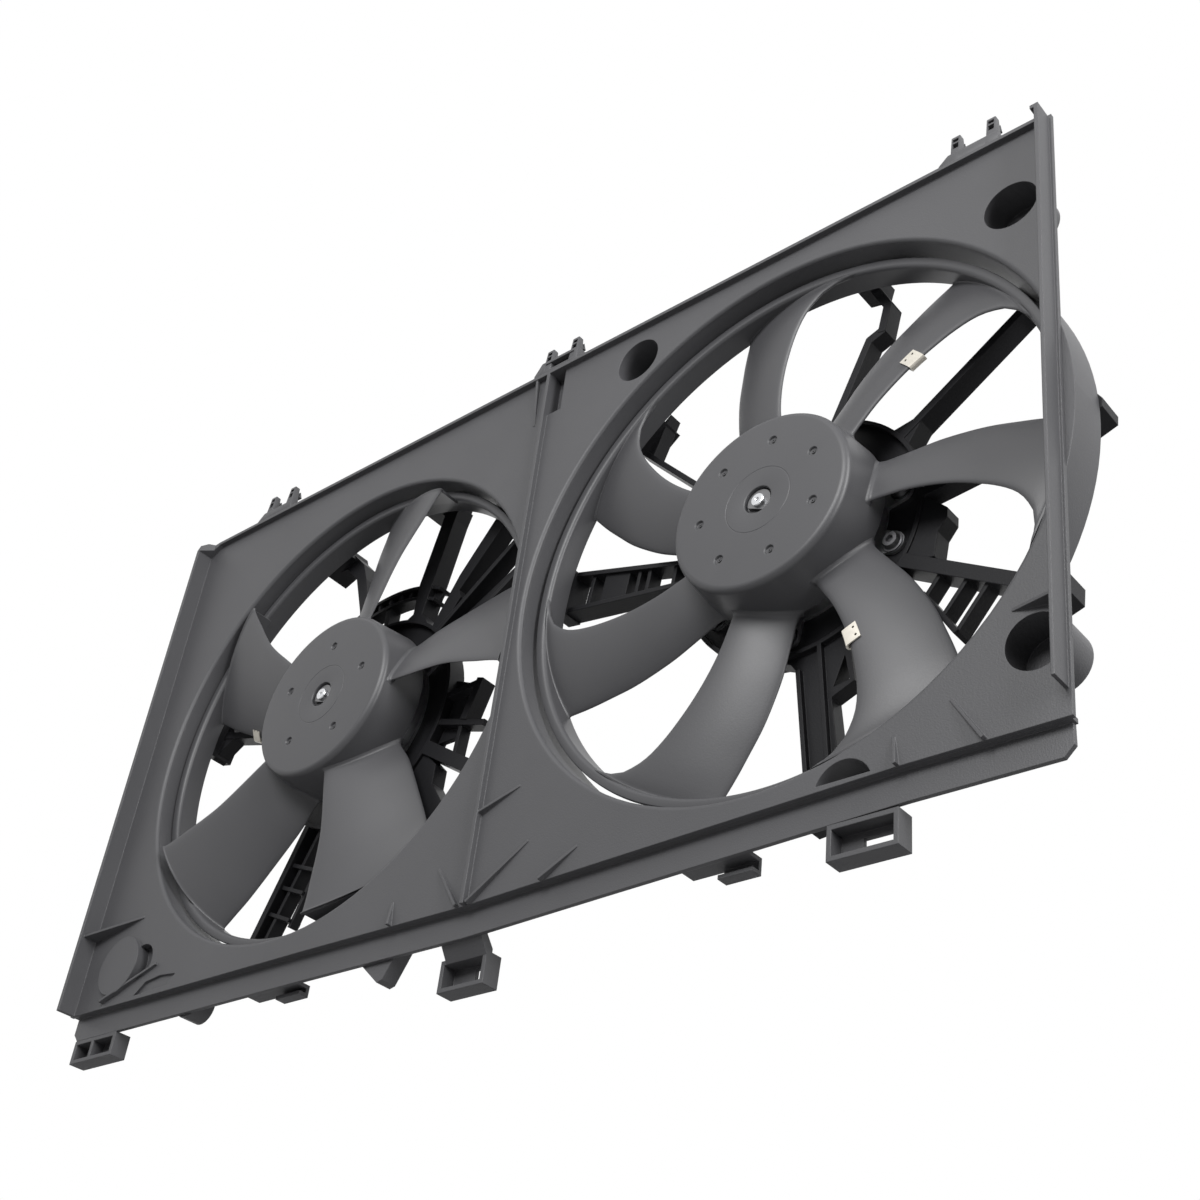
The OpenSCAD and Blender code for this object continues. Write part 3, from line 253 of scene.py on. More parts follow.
def metal(name, colour, rough, metallic=1.0, scale=260.0):
    """A bare or coated metal whose gloss drifts over the surface."""
    if name in bpy.data.materials:
        return bpy.data.materials[name]
    made = bpy.data.materials.new(name)
    made.use_nodes = True
    tree = made.node_tree
    shader = tree.nodes["Principled BSDF"]
    place = add_node(tree, "ShaderNodeTexCoord", (-900, 0))
    noise = add_node(tree, "ShaderNodeTexNoise", (-700, 0), Scale=scale, Detail=4.0)
    rough_range = add_node(tree, "ShaderNodeMapRange", (-400, -100))
    rough_range.inputs["To Min"].default_value = rough[0]
    rough_range.inputs["To Max"].default_value = rough[1]
    tone = add_node(tree, "ShaderNodeValToRGB", (-400, 200))
    tone.color_ramp.elements[0].color = (*[0.82 * c for c in colour], 1)
    tone.color_ramp.elements[1].color = (*colour, 1)
    bump = add_node(tree, "ShaderNodeBump", (-200, -300), Strength=0.06, Distance=0.0002)
    tree.links.new(place.outputs["Object"], noise.inputs["Vector"])
    tree.links.new(noise.outputs["Fac"], rough_range.inputs["Value"])
    tree.links.new(noise.outputs["Fac"], tone.inputs["Fac"])
    tree.links.new(noise.outputs["Fac"], bump.inputs["Height"])
    tree.links.new(tone.outputs["Color"], shader.inputs["Base Color"])
    tree.links.new(rough_range.outputs[0], shader.inputs["Roughness"])
    tree.links.new(bump.outputs["Normal"], shader.inputs["Normal"])
    shader.inputs["Metallic"].default_value = metallic
    return made


def dress(names, material):
    """Puts a material on CAD nodes, given by name."""
    for name in names:
        node = NODES[name]
        node.data.materials.clear()
        node.data.materials.append(material)


class FANMODULE_OT_shroud(bpy.types.Operator):
    """Give the moulded shroud its charcoal plastic"""
    bl_idname = "fanmodule.shroud"
    bl_label = "Shroud"

    def execute(self, context):
        dress(SHROUD, moulded("charcoal_plastic", finish_settings().plastic))
        dress(SPIDERS, moulded("arm_plastic", finish_settings().dark_plastic,
                               (0.36, 0.48), shine=0.14))
        return {"FINISHED"}


def deselect():
    """Leaves edit mode and selects nothing."""
    if bpy.context.object and bpy.context.object.mode != "OBJECT":
        bpy.ops.object.mode_set(mode="OBJECT")
    bpy.ops.object.select_all(action="DESELECT")


def take(piece):
    """Selects one piece alone and makes it the active one."""
    deselect()
    piece.select_set(True)
    bpy.context.view_layer.objects.active = piece


def arc(centre, r, start, end, steps):
    """Points of an arc, each as radius and depth."""
    turns = [math.radians(start + (end - start) * i / steps) for i in range(steps + 1)]
    return [(centre[0] + r * math.cos(t), centre[1] + r * math.sin(t)) for t in turns]


def spun(name, axis, profile, steps=144, closed=True):
    """A profile of radius and depth, drawn point by point and spun about a fan's axis."""
    deselect()
    place = Vector((axis[0], 0, axis[1])) * MM
    start = place + Vector((profile[0][0], profile[0][1], 0)) * MM
    bpy.ops.mesh.primitive_plane_add(size=MM, location=start)
    piece = bpy.context.object
    piece.name = piece.data.name = name
    bpy.ops.object.mode_set(mode="EDIT")
    bpy.ops.mesh.select_mode(type="VERT")
    bpy.ops.mesh.select_all(action="SELECT")
    bpy.ops.mesh.merge(type="CENTER")
    path = profile + [profile[0]] if closed else profile
    for (r1, y1), (r2, y2) in zip(path, path[1:]):
        bpy.ops.mesh.extrude_vertices_move(
            TRANSFORM_OT_translate={"value": ((r2 - r1) * MM, (y2 - y1) * MM, 0)})
    bpy.ops.mesh.select_all(action="SELECT")
    bpy.ops.mesh.remove_doubles(threshold=1e-7)
    bpy.ops.mesh.spin(steps=steps, angle=2 * math.pi, center=place, axis=(0, 1, 0))
    bpy.ops.mesh.select_all(action="SELECT")
    bpy.ops.mesh.remove_doubles(threshold=1e-6)
    bpy.ops.mesh.normals_make_consistent(inside=False)
    bpy.ops.object.mode_set(mode="OBJECT")
    return settle(piece)


def settle(piece):
    """Puts a piece's place into its mesh, so that its object stands at the origin."""
    take(piece)
    bpy.ops.object.transform_apply(location=True, rotation=True, scale=True)
    return piece


def skinned(name, loops):
    """A skin over closed loops of points that lie in a row, closed at both ends.

    A blade's sections lie on cylinders and twist, which no edit operator bends.
    """
    count = len(loops[0])
    faces = []
    for k in range(len(loops) - 1):
        for i in range(count):
            j = (i + 1) % count
            faces.append((k * count + i, k * count + j, (k + 1) * count + j, (k + 1) * count + i))
    faces.append(tuple(range(count)))
    last = (len(loops) - 1) * count
    faces.append(tuple(range(last + count - 1, last - 1, -1)))
    mesh = bpy.data.meshes.new(name)
    mesh.from_pydata([Vector(p) * MM for loop in loops for p in loop], [], faces)
    piece = bpy.data.objects.new(name, mesh)
    bpy.context.scene.collection.objects.link(piece)
    take(piece)
    bpy.ops.object.mode_set(mode="EDIT")
    bpy.ops.mesh.select_all(action="SELECT")
    bpy.ops.mesh.remove_doubles(threshold=1e-7)
    bpy.ops.mesh.normals_make_consistent(inside=False)
    bpy.ops.object.mode_set(mode="OBJECT")
    return piece


def turned_copies(piece, axis, count):
    """Further copies of a piece, evenly turned about a fan's axis."""
    made = [piece]
    for i in range(1, count):
        take(piece)
        bpy.ops.object.duplicate()
        copy = bpy.context.object
        bpy.ops.object.mode_set(mode="EDIT")
        bpy.ops.mesh.select_all(action="SELECT")
        bpy.ops.transform.rotate(value=2 * math.pi * i / count, orient_axis="Y",
                                 center_override=(axis[0] * MM, 0, axis[1] * MM))
        bpy.ops.object.mode_set(mode="OBJECT")
        made.append(copy)
    return made


def joined(name, pieces):
    """Joins pieces into one object under a name."""
    deselect()
    for piece in pieces:
        piece.select_set(True)
    bpy.context.view_layer.objects.active = pieces[0]
    if len(pieces) > 1:
        bpy.ops.object.join()
    whole = bpy.context.object
    whole.name = whole.data.name = name
    return whole


def smooth(piece, angle=35):
    """Shades a piece smooth, except across edges sharper than the angle in degrees."""
    take(piece)
    bpy.ops.object.shade_smooth_by_angle(angle=math.radians(angle))
    return piece


def finish_piece(piece, body, material, nodes=()):
    """Gives a piece its material, body and slot, and hides the nodes that it stands for."""
    piece.data.materials.clear()
    piece.data.materials.append(material)
    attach(piece, body)
    if nodes:
        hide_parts(*nodes)
    return piece


def carved(piece, cutters):
    """Takes the cutters' shapes out of a piece."""
    cutter = joined("cutter", cutters)
    take(piece)
    cut = piece.modifiers.new("cut", "BOOLEAN")
    cut.object = cutter
    cut.solver = "EXACT"
    bpy.ops.object.modifier_apply(modifier=cut.name)
    bpy.data.objects.remove(cutter)
    return piece


def block(name, low, high):
    """A block between two corners in millimetres, as a start for shaping."""
    deselect()
    bpy.ops.mesh.primitive_cube_add(size=1, location=[(a + b) / 2 * MM for a, b in zip(low, high)],
                                    scale=[(b - a) * MM for a, b in zip(low, high)])
    piece = bpy.context.object
    piece.name = piece.data.name = name
    return settle(piece)


def pick(piece, test):
    """Selects in edit mode the faces whose middle, in millimetres, and normal pass a test."""
    take(piece)
    bpy.ops.object.mode_set(mode="EDIT")
    bpy.ops.mesh.select_mode(type="FACE")
    bpy.ops.mesh.select_all(action="DESELECT")
    bpy.ops.object.mode_set(mode="OBJECT")
    for face in piece.data.polygons:
        face.select = bool(test(face.center / MM, face.normal))
    bpy.ops.object.mode_set(mode="EDIT")


def rounded(piece, width, segments=2):
    """Rounds every sharp edge of a piece, by a width in millimetres."""
    take(piece)
    edge = piece.modifiers.new("edge", "BEVEL")
    edge.width = width * MM
    edge.segments = segments
    edge.limit_method = "ANGLE"
    bpy.ops.object.modifier_apply(modifier=edge.name)
    return piece


# The snap brackets on the top edge: where they start in X, and how high their bases are
CLIP_PLACES, CLIP_BASES = (-288.0, -7.0, 296.0), (7.0, 11.0, 7.0)
CLIP_FOOT, CLIP_FRONT, CLIP_DEPTH, CLIP_WIDTH = 190.5, 10.0, 7.5, 31.0


def snap_prong(x, width, height):
    """A prong with a tapered top, a barb behind and two windows one above the other."""
    foot, front, depth = CLIP_FOOT, CLIP_FRONT, CLIP_DEPTH
    prong = block("prong", (x, front, foot), (x + width, front + depth, foot + height))
    pick(prong, lambda at, normal: normal.z > 0.9)
    bpy.ops.transform.resize(value=(0.86, 0.55, 1))
    bpy.ops.object.mode_set(mode="OBJECT")
    rounded(prong, 0.6)
    barb = block("barb", (x + 0.6, front + depth - 0.4, foot + height - 7.2),
                 (x + width - 0.6, front + depth + 1.9, foot + height - 2.6))
    pick(barb, lambda at, normal: normal.z > 0.9)
    bpy.ops.transform.resize(value=(1, 0.2, 1))
    bpy.ops.transform.translate(value=(0, -1.0 * MM, 0))
    bpy.ops.object.mode_set(mode="OBJECT")
    rounded(barb, 0.3)
    windows = [block("window", (x + 1.5, front - 2, foot + height - top),
                     (x + width - 1.5, front + depth + 4, foot + height - top + tall))
               for top, tall in ((10.8, 4.4), (5.0, 2.6))]
    return [carved(prong, windows), barb]


class FANMODULE_OT_brackets(bpy.types.Operator):
    """Shape the snap brackets with their windowed prongs"""
    bl_idname = "fanmodule.brackets"
    bl_label = "Snap brackets"

    def execute(self, context):
        parts = []
        wide, tall = 6.6, 22.0
        for x, base in zip(CLIP_PLACES, CLIP_BASES):
            foot = block("base", (x, CLIP_FRONT, CLIP_FOOT),
                         (x + CLIP_WIDTH, CLIP_FRONT + CLIP_DEPTH, CLIP_FOOT + base))
            pick(foot, lambda at, normal: normal.x < -0.9)
            bpy.ops.mesh.extrude_region_move(TRANSFORM_OT_translate={"value": (-6 * MM, 0, 0)})
            bpy.ops.transform.resize(value=(1, 1, 0.2), center_override=(0, 0, CLIP_FOOT * MM))
            bpy.ops.object.mode_set(mode="OBJECT")
            rounded(foot, 0.5)
            if base > 10:
                hollow = block("hollow", (x + 3, CLIP_FRONT - 2, CLIP_FOOT + 2.5),
                               (x + CLIP_WIDTH - 3, CLIP_FRONT + CLIP_DEPTH - 2,
                                CLIP_FOOT + base - 2.5))
                carved(foot, [hollow])
            parts.append(foot)
            parts += snap_prong(x + 1.2, wide, tall)
            parts += snap_prong(x + CLIP_WIDTH - wide - 1.2, wide, tall)
        whole = smooth(joined("snap_brackets", parts), 30)
        finish_piece(whole, "shroud", moulded("charcoal_plastic", finish_settings().plastic),
                     ["top_clips"])
        return {"FINISHED"}


def hub_profile(fan):
    """The cup of a hub: recess, face with its ring line, shoulder, skirt and boss."""
    r, groove = fan["hub_r"], fan_settings().groove
    inner = r - HUB_WALL
    face = HUB_FRONT
    return ([(SHAFT_R + FIT, face + RECESS_D), (RECESS_R - 0.4, face + RECESS_D)]
            + arc((RECESS_R - 0.4, face + RECESS_D - 0.4), 0.4, 90, 0, 3)[1:]
            + arc((RECESS_R + 0.5, face + 0.5), 0.5, 180, 270, 4)
            + [(20.2, face), (20.4, face + groove), (20.7, face + groove), (20.9, face)]
            + arc((r - SHOULDER, face + SHOULDER), SHOULDER, 270, 360, 14)
            + [(r + HUB_DRAFT, HUB_REAR), (r + HUB_DRAFT - HUB_WALL, HUB_REAR),
               (inner, face + 7), (inner - 3, face + 3), (BOSS_R, face + 3),
               (BOSS_R, BOSS_END), (SHAFT_R + FIT, BOSS_END)])


def dimple_cutter(fan):
    """The hollow of one dimple, with the pin mark left standing in its middle."""
    r, face = fan_settings().dimple_r, HUB_FRONT
    axis = fan["axis"]
    turn = math.radians(fan["dimple_turn"])
    middle = (axis[0] + fan["dimple_pitch"] * math.cos(turn),
              axis[1] + fan["dimple_pitch"] * math.sin(turn))
    return spun("dimple", middle, [(r + 0.25, face - 1), (r + 0.25, face), (r, face + 0.25),
                                   (r - 0.35, face + 1.2), (1.15, face + 1.35), (1.0, face + 0.75),
                                   (0.45, face + 0.75), (0.35, face + 1.3), (0.001, face + 1.3),
                                   (0.001, face - 1)], 32)


class FANMODULE_OT_hubs(bpy.types.Operator):
    """Turn the hub caps and press the dimples into their faces"""
    bl_idname = "fanmodule.hubs"
    bl_label = "Hubs"

    def execute(self, context):
        for side, fan in FANS.items():
            cap = spun(side + "_hub", fan["axis"], hub_profile(fan), 192)
            dimples = turned_copies(dimple_cutter(fan), fan["axis"], fan["blades"])
            cap = smooth(carved(cap, dimples), 24)
            finish_piece(cap, side + "_rotor", fan_plastic(), [side + "_fan"])
        return {"FINISHED"}


# Shares of a section's chord, and how much of the full thickness the blade has there
CHORD = (0, 0.01, 0.035, 0.08, 0.15, 0.25, 0.36, 0.47, 0.58, 0.69, 0.79, 0.88, 0.94, 0.975,
         0.993, 1)
FILL = (0.16, 0.5, 0.8, 0.94, 1, 1, 1, 1, 1, 0.98, 0.94, 0.86, 0.76, 0.6, 0.4, 0.16)


def blade_point(fan, section, share, lift):
    """Point of a section at a share of its chord, lifted off its middle surface."""
    r, a0, a1, y0, y1 = section
    bulge = fan_settings().blade_bulge
    turn = fan["turn"] + a0 + (a1 - a0) * share
    y = y0 + (y1 - y0) * share - bulge * 4 * share * (1 - share)
    run = r * math.radians(a1 - a0)
    rise = y1 - y0 - bulge * 4 * (1 - 2 * share)
    n = math.hypot(run, rise)
    angle = math.radians(turn) - rise / n * lift / r
    return r, angle, y + run / n * lift


def section_at(fan, r):
    """A smooth section between the given ones, by a cubic through four of them."""
    rows = fan["sections"]
    k = max(i for i in range(len(rows) - 1) if rows[i][0] <= r or i == 0)
    t = (r - rows[k][0]) / (rows[k + 1][0] - rows[k][0])

    def slope(i, part):
        lo, hi = rows[max(i - 1, 0)], rows[min(i + 1, len(rows) - 1)]
        return (hi[part] - lo[part]) / (hi[0] - lo[0])
    span = rows[k + 1][0] - rows[k][0]
    values = [r]
    for part in range(1, 5):
        p, q = rows[k][part], rows[k + 1][part]
        m, n = slope(k, part) * span, slope(k + 1, part) * span
        values.append((2 * t ** 3 - 3 * t ** 2 + 1) * p + (t ** 3 - 2 * t ** 2 + t) * m
                      + (3 * t ** 2 - 2 * t ** 3) * q + (t ** 3 - t ** 2) * n)
    return values


def blade_loop(fan, r, swell, off_hub=None):
    """One closed section; swell widens it for a fillet, off_hub sets it off the hub's cone."""
    section = section_at(fan, r)
    half = fan_settings().blade_thickness / 2
    chord = r * math.radians(section[2] - section[1])
    reach = swell / chord
    loop = []
    for side in (1, -1):
        row = list(zip(CHORD, FILL))
        for share, fill in (row if side == 1 else row[::-1]):
            place = share * (1 + 2 * reach) - reach
            radius, angle, y = blade_point(fan, section, place, side * (fill * half + swell))
            if off_hub is not None:
                radius = fan["hub_r"] + HUB_DRAFT * (y - HUB_FRONT - SHOULDER) / (
                    HUB_REAR - HUB_FRONT - SHOULDER) + off_hub
            loop.append((fan["axis"][0] + radius * math.cos(angle), y,
                         fan["axis"][1] + radius * math.sin(angle)))
    return loop


def fillet(r, off):
    """How far a fillet of radius r stands off its wall, at a distance from its foot."""
    return r - math.sqrt(max(r * r - max(r - off, 0) ** 2, 0))


def blade(side, fan):
    """One blade, lofted from its root fillet in the hub to its tip in the ring."""
    size = fan_settings().root_fillet
    loops = [blade_loop(fan, fan["hub_r"] + 1, size * 0.8, -1.2)]
    for share in (0.04, 0.14, 0.3, 0.5, 0.75, 1.0):
        loops.append(blade_loop(fan, fan["hub_r"] + 1 + size * share, fillet(size, size * share),
                                size * share))
    first, steps, tip = fan["hub_r"] + 7, 26, 1.4
    ring = min(fan["ring_r"], fan["blade_end"])
    for i in range(steps + 1):
        r = first + (ring - tip - 0.6 - first) * i / steps
        loops.append(blade_loop(fan, r, 0))
    for off in (0.9, 0.45, 0.15):
        loops.append(blade_loop(fan, ring - off, fillet(tip, off) * 0.7))
    loops.append(blade_loop(fan, fan["blade_end"], 0.6))
    return skinned(side + "_blade", loops)


def web_loops(fan):
    """Sections of the web that carries a left blade's front part on the ring."""
    rear = RING_FRONT + 4
    loops = []
    for i in range(9):
        share = i / 8
        turn = math.radians(fan["turn"] + WEB_START + (WEB_END - WEB_START) * share)
        front = WEB_FRONT + (RING_FRONT - 3.5 - WEB_FRONT) * share
        corners = ((WEB_INNER, front), (WEB_OUTER, front), (WEB_OUTER, rear), (WEB_INNER, rear))
        loops.append([(fan["axis"][0] + r * math.cos(turn), y,
                       fan["axis"][1] + r * math.sin(turn)) for r, y in corners])
    return loops


class FANMODULE_OT_blades(bpy.types.Operator):
    """Loft the blades with their fillets and join their tips with the ring"""
    bl_idname = "fanmodule.blades"
    bl_label = "Blades and rings"

    def execute(self, context):
        for side, fan in FANS.items():
            parts = turned_copies(blade(side, fan), fan["axis"], fan["blades"])
            r, lip = fan["ring_r"], RING_LIP
            out = r + fan["lip_out"]
            profile = ([(r, RING_REAR)] + arc((r + lip, RING_FRONT + lip), lip, 180, 270, 10)
                       + arc((out - 0.5, RING_FRONT + 0.5), 0.5, 270, 360, 3)
                       + [(out, RING_FRONT + 2.3), (r + 3.4, RING_FRONT + 2.7),
                          (r + 2.2, RING_FRONT + 4.3), (r + 2.2, RING_REAR)])
            parts.append(spun(side + "_ring", fan["axis"], profile, 240))
            if side == "left":
                web = skinned("tip_web", web_loops(fan))
                parts += turned_copies(web, fan["axis"], fan["blades"])
            whole = smooth(joined(side + "_blades", parts), 40)
            finish_piece(whole, side + "_rotor", fan_plastic())
        return {"FINISHED"}


# Room between a blade and the clip round its edge, and the clip's sheet thickness
CLIP_GAP, CLIP_T = 0.25, 0.7


def clip_loop(fan, r, reach, rear):
    """Outline of a folded clip at one radius, round the blade's front or rear edge."""
    inner = fan_settings().blade_thickness / 2 + CLIP_GAP
    outer = inner + CLIP_T
    nose = [(-0.022 - 0.034 * math.sin(t), -outer * math.cos(t)) for t in
            [math.pi * (i + 1) / 7 for i in range(6)]]
    hollow = [(-0.012 - 0.018 * math.sin(t), inner * math.cos(t)) for t in
              [math.pi * (i + 1) / 7 for i in range(6)]]
    path = ([(reach, -outer), (0.02, -outer)] + nose + [(0.02, outer), (reach, outer),
            (reach, inner), (0.02, inner)] + hollow + [(0.02, -inner), (reach, -inner)])
    loop = []
    for share, lift in path:
        radius, angle, y = blade_point(fan, section_at(fan, r), 1 - share if rear else share, lift)
        loop.append((fan["axis"][0] + radius * math.cos(angle), y,
                     fan["axis"][1] + radius * math.sin(angle)))
    return loop


def clip_hole(fan, r, share):
    """A small tapered hole cutter through both leaves of a clip."""
    radius, angle, y = blade_point(fan, section_at(fan, r), share, 0)
    middle = (fan["axis"][0] + radius * math.cos(angle), fan["axis"][1] + radius * math.sin(angle))
    return spun("hole", middle, [(0.001, y - 4), (0.75, y - 4), (0.65, y + 4), (0.001, y + 4)], 20)


class FANMODULE_OT_clips(bpy.types.Operator):
    """Fold the sheet clips round the blade edges and drill them"""
    bl_idname = "fanmodule.clips"
    bl_label = "Balance clips"

    def execute(self, context):
        sheet = metal("clip_sheet", finish_settings().clip_metal, (0.3, 0.45), 0.25)
        for side, fan in FANS.items():
            parts = []
            for number, r1, r2, reach, rear in fan["clips"]:
                shifted = dict(fan, turn=fan["turn"] + number * 360 / fan["blades"])
                rows = [r1 + (r2 - r1) * i / 4 for i in range(5)]
                clip = skinned("clip", [clip_loop(shifted, r, reach, rear) for r in rows])
                share = reach * 0.72
                share = 1 - share if rear else share
                holes = [clip_hole(shifted, r1 + (r2 - r1) * s, share) for s in (0.25, 0.75)]
                parts.append(carved(clip, holes))
            name = "right_clips" if side == "right" else "left_clip"
            node = "right_balance_clips" if side == "right" else "left_balance_clip"
            whole = smooth(joined(name, parts), 32)
            dress([node], sheet)
            finish_piece(whole, side + "_rotor", sheet, [node])
        return {"FINISHED"}


class FANMODULE_OT_shafts(bpy.types.Operator):
    """Turn the shafts with their groove, rounded nose and centre hole"""
    bl_idname = "fanmodule.shafts"
    bl_label = "Shafts"

    def execute(self, context):
        steel = metal("bright_steel", (0.75, 0.76, 0.78), (0.12, 0.3))
        nose = HUB_FRONT - 0.5
        for side, fan in FANS.items():
            profile = ([(0.001, nose + 1.7), (0.7, nose + 1.0), (1.25, nose)]
                       + arc((SHAFT_R - 0.8, nose + 0.8), 0.8, 270, 360, 6)
                       + [(SHAFT_R, HUB_FRONT + 1.4), (SHAFT_R - 0.8, HUB_FRONT + 1.4),
                          (SHAFT_R - 0.8, HUB_FRONT + 2.6), (SHAFT_R, HUB_FRONT + 2.6)]
                       + [(SHAFT_R, SHAFT_END - 0.6), (SHAFT_R - 0.6, SHAFT_END),
                          (1.4, SHAFT_END), (0.7, SHAFT_END - 1), (0.001, SHAFT_END - 1.7)])
            piece = smooth(spun(side + "_turned_shaft", fan["axis"], profile, 64), 30)
            finish_piece(piece, side + "_rotor", steel, [side + "_shaft"])
        return {"FINISHED"}


def fan_plastic():
    """The finer, smoother plastic of the fans."""
    return moulded("fan_plastic", finish_settings().plastic, (0.36, 0.46), 0.12, 0.08, 0.0004)


class FANMODULE_OT_motors(bpy.types.Operator):
    """Give every piece of the motors its material"""
    bl_idname = "fanmodule.motors"
    bl_label = "Motors"

    def execute(self, context):
        steel = metal("screw_steel", (0.24, 0.24, 0.25), (0.3, 0.5))
        washer = metal("spring_steel", (0.2, 0.2, 0.205), (0.25, 0.4))
        plated = metal("plated_steel", (0.5, 0.51, 0.53), (0.3, 0.46))
        stacked = metal("stacked_steel", (0.32, 0.32, 0.33), (0.35, 0.55))
        copper = metal("enamelled_copper", (0.62, 0.28, 0.12), (0.2, 0.35))
        bronze = metal("sintered_bronze", (0.6, 0.46, 0.22), (0.35, 0.5))
        ferrite = metal("ferrite", (0.09, 0.085, 0.085), (0.5, 0.65), 0.0)
        carbon = metal("pressed_carbon", (0.04, 0.04, 0.042), (0.4, 0.6), 0.0)
        black = moulded("socket_plastic", finish_settings().dark_plastic, (0.35, 0.5))
        for side in ("left_", "right_"):
            dress([side + n for n in ("shaft", "brush_springs", "screws")], steel)
            dress([side + "shaft_clip"], washer)
            dress([side + "fan"], fan_plastic())
            dress([side + n for n in ("can", "end_cap")], plated)
            dress([side + "core"], stacked)
            dress([side + n for n in ("windings", "commutator")], copper)
            dress([side + n for n in ("bearings", "pins")], bronze)
            dress([side + "magnets"], ferrite)
            dress([side + "brushes"], carbon)
            dress([side + n for n in ("brush_card", "socket")], black)
        return {"FINISHED"}


def backdrop_shader(tree, colour):
    """A plain matt surface in a pale colour, for the floor."""
    tree.nodes.clear()
    out = add_node(tree, "ShaderNodeOutputMaterial", (600, 0))
    diffuse = add_node(tree, "ShaderNodeBsdfDiffuse", (0, 100))
    diffuse.inputs["Color"].default_value = (*[0.9 * c for c in colour], 1)
    tree.links.new(diffuse.outputs[0], out.inputs["Surface"])


def soft_lamp(name, place, aim, size, power):
    """A rectangular lamp that faces a point; lengths in metres, power in watts."""
    lamp = bpy.data.lights.new(name, "AREA")
    lamp.shape = "RECTANGLE"
    lamp.size, lamp.size_y = size
    lamp.energy = power
    made = bpy.data.objects.new(name, lamp)
    bpy.context.scene.collection.objects.link(made)
    made.location = place
    made.rotation_euler = (Vector(aim) - Vector(place)).to_track_quat("-Z", "Y").to_euler()
    return made


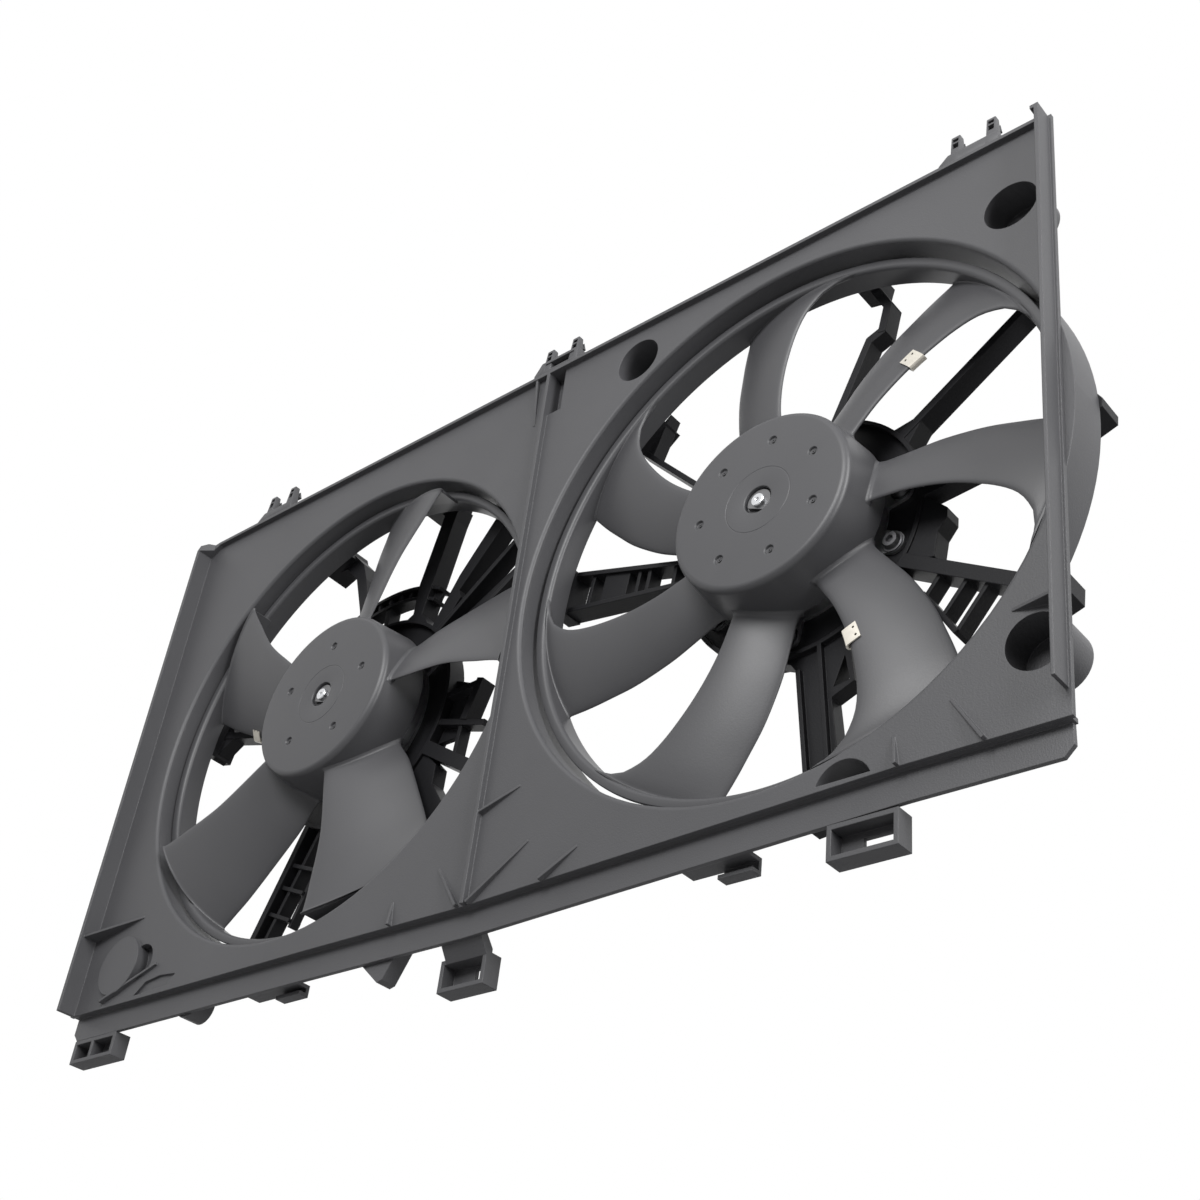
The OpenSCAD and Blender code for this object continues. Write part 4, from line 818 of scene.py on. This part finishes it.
class FANMODULE_OT_stage(bpy.types.Operator):
    """Add the floor, the pale background, the soft lamps and the camera"""
    bl_idname = "fanmodule.stage"
    bl_label = "Stage"

    def execute(self, context):
        scene = context.scene
        settings = stage_settings()
        scene.view_settings.view_transform = "Standard"
        world = scene.world or bpy.data.worlds.new("studio")
        scene.world = world
        world.use_nodes = True
        tree = world.node_tree
        tree.nodes.clear()
        out = add_node(tree, "ShaderNodeOutputWorld", (600, 0))
        light = add_node(tree, "ShaderNodeBackground", (0, -100), Strength=settings.fill)
        seen = add_node(tree, "ShaderNodeBackground", (0, 100), Strength=1.0)
        seen.inputs["Color"].default_value = (*settings.backdrop, 1)
        path = add_node(tree, "ShaderNodeLightPath", (-400, 200))
        mix = add_node(tree, "ShaderNodeMixShader", (300, 0))
        shine = add_node(tree, "ShaderNodeMath", (-200, 200), operation="MAXIMUM")
        any_seen = add_node(tree, "ShaderNodeMath", (0, 250), operation="MAXIMUM")
        for source, target in ((path.outputs["Is Camera Ray"], shine.inputs[0]),
                               (path.outputs["Is Glossy Ray"], shine.inputs[1]),
                               (shine.outputs[0], any_seen.inputs[0]),
                               (path.outputs["Is Transmission Ray"], any_seen.inputs[1]),
                               (any_seen.outputs[0], mix.inputs[0]),
                               (light.outputs[0], mix.inputs[1]),
                               (seen.outputs[0], mix.inputs[2]),
                               (mix.outputs[0], out.inputs["Surface"])):
            tree.links.new(source, target)

        deselect()
        bpy.ops.mesh.primitive_plane_add(size=12, location=(0, 0, -settings.floor_drop))
        floor = context.object
        floor.name = "floor"
        material = bpy.data.materials.new("floor")
        material.use_nodes = True
        backdrop_shader(material.node_tree, settings.backdrop)
        floor.data.materials.append(material)

        soft_lamp("key", (0.4, -1.5, 0.75), (0.05, 0, 0), (1.0, 0.8), settings.key)
        soft_lamp("strip", (1.5, -0.35, 0.45), (0, 0, 0), (0.45, 1.3), settings.strip)

        camera = bpy.data.cameras.new("camera")
        camera.lens, camera.sensor_width = CAMERA_LENS, CAMERA_SENSOR
        camera.sensor_fit = "HORIZONTAL"
        camera.clip_start, camera.clip_end = 0.05, 50
        eye = bpy.data.objects.new("camera", camera)
        scene.collection.objects.link(eye)
        right, up = Vector(CAMERA_RIGHT), Vector(CAMERA_UP)
        back = right.cross(up).normalized()
        turn = Matrix((right, up, back)).transposed().to_4x4()
        eye.matrix_world = Matrix.Translation(CAMERA_PLACE) @ turn
        scene.camera = eye
        return {"FINISHED"}


class FANMODULE_PT_panel(bpy.types.Panel):
    """Lists the steps that finish the fan module"""
    bl_idname = "FANMODULE_PT_panel"
    bl_label = "Fan module"
    bl_space_type = "VIEW_3D"
    bl_region_type = "UI"
    bl_category = "Fan module"

    def draw(self, context):
        column = self.layout.column()
        for group in (finish_settings(), fan_settings(), stage_settings()):
            for key in group.__annotations__:
                column.prop(group, key)
        for step in STEPS:
            column.operator(step.bl_idname)


STEPS = (FANMODULE_OT_stage, FANMODULE_OT_shroud, FANMODULE_OT_motors, FANMODULE_OT_brackets,
         FANMODULE_OT_hubs, FANMODULE_OT_blades, FANMODULE_OT_clips, FANMODULE_OT_shafts)
CLASSES = (FanModuleFinish, FanModuleFans, FanModuleStage, *STEPS, FANMODULE_PT_panel)


def register():
    for made in CLASSES:
        bpy.utils.register_class(made)
    bpy.types.Scene.fan_module_finish = bpy.props.PointerProperty(type=FanModuleFinish)
    bpy.types.Scene.fan_module_fans = bpy.props.PointerProperty(type=FanModuleFans)
    bpy.types.Scene.fan_module_stage = bpy.props.PointerProperty(type=FanModuleStage)


def unregister():
    del bpy.types.Scene.fan_module_stage
    del bpy.types.Scene.fan_module_fans
    del bpy.types.Scene.fan_module_finish
    for made in reversed(CLASSES):
        bpy.utils.unregister_class(made)


def main():
    register()
    bpy.ops.fanmodule.stage()
    bpy.ops.fanmodule.shroud()
    bpy.ops.fanmodule.motors()
    bpy.ops.fanmodule.brackets()
    bpy.ops.fanmodule.hubs()
    bpy.ops.fanmodule.blades()
    bpy.ops.fanmodule.clips()
    bpy.ops.fanmodule.shafts()


if __name__ == "__main__":
    main()
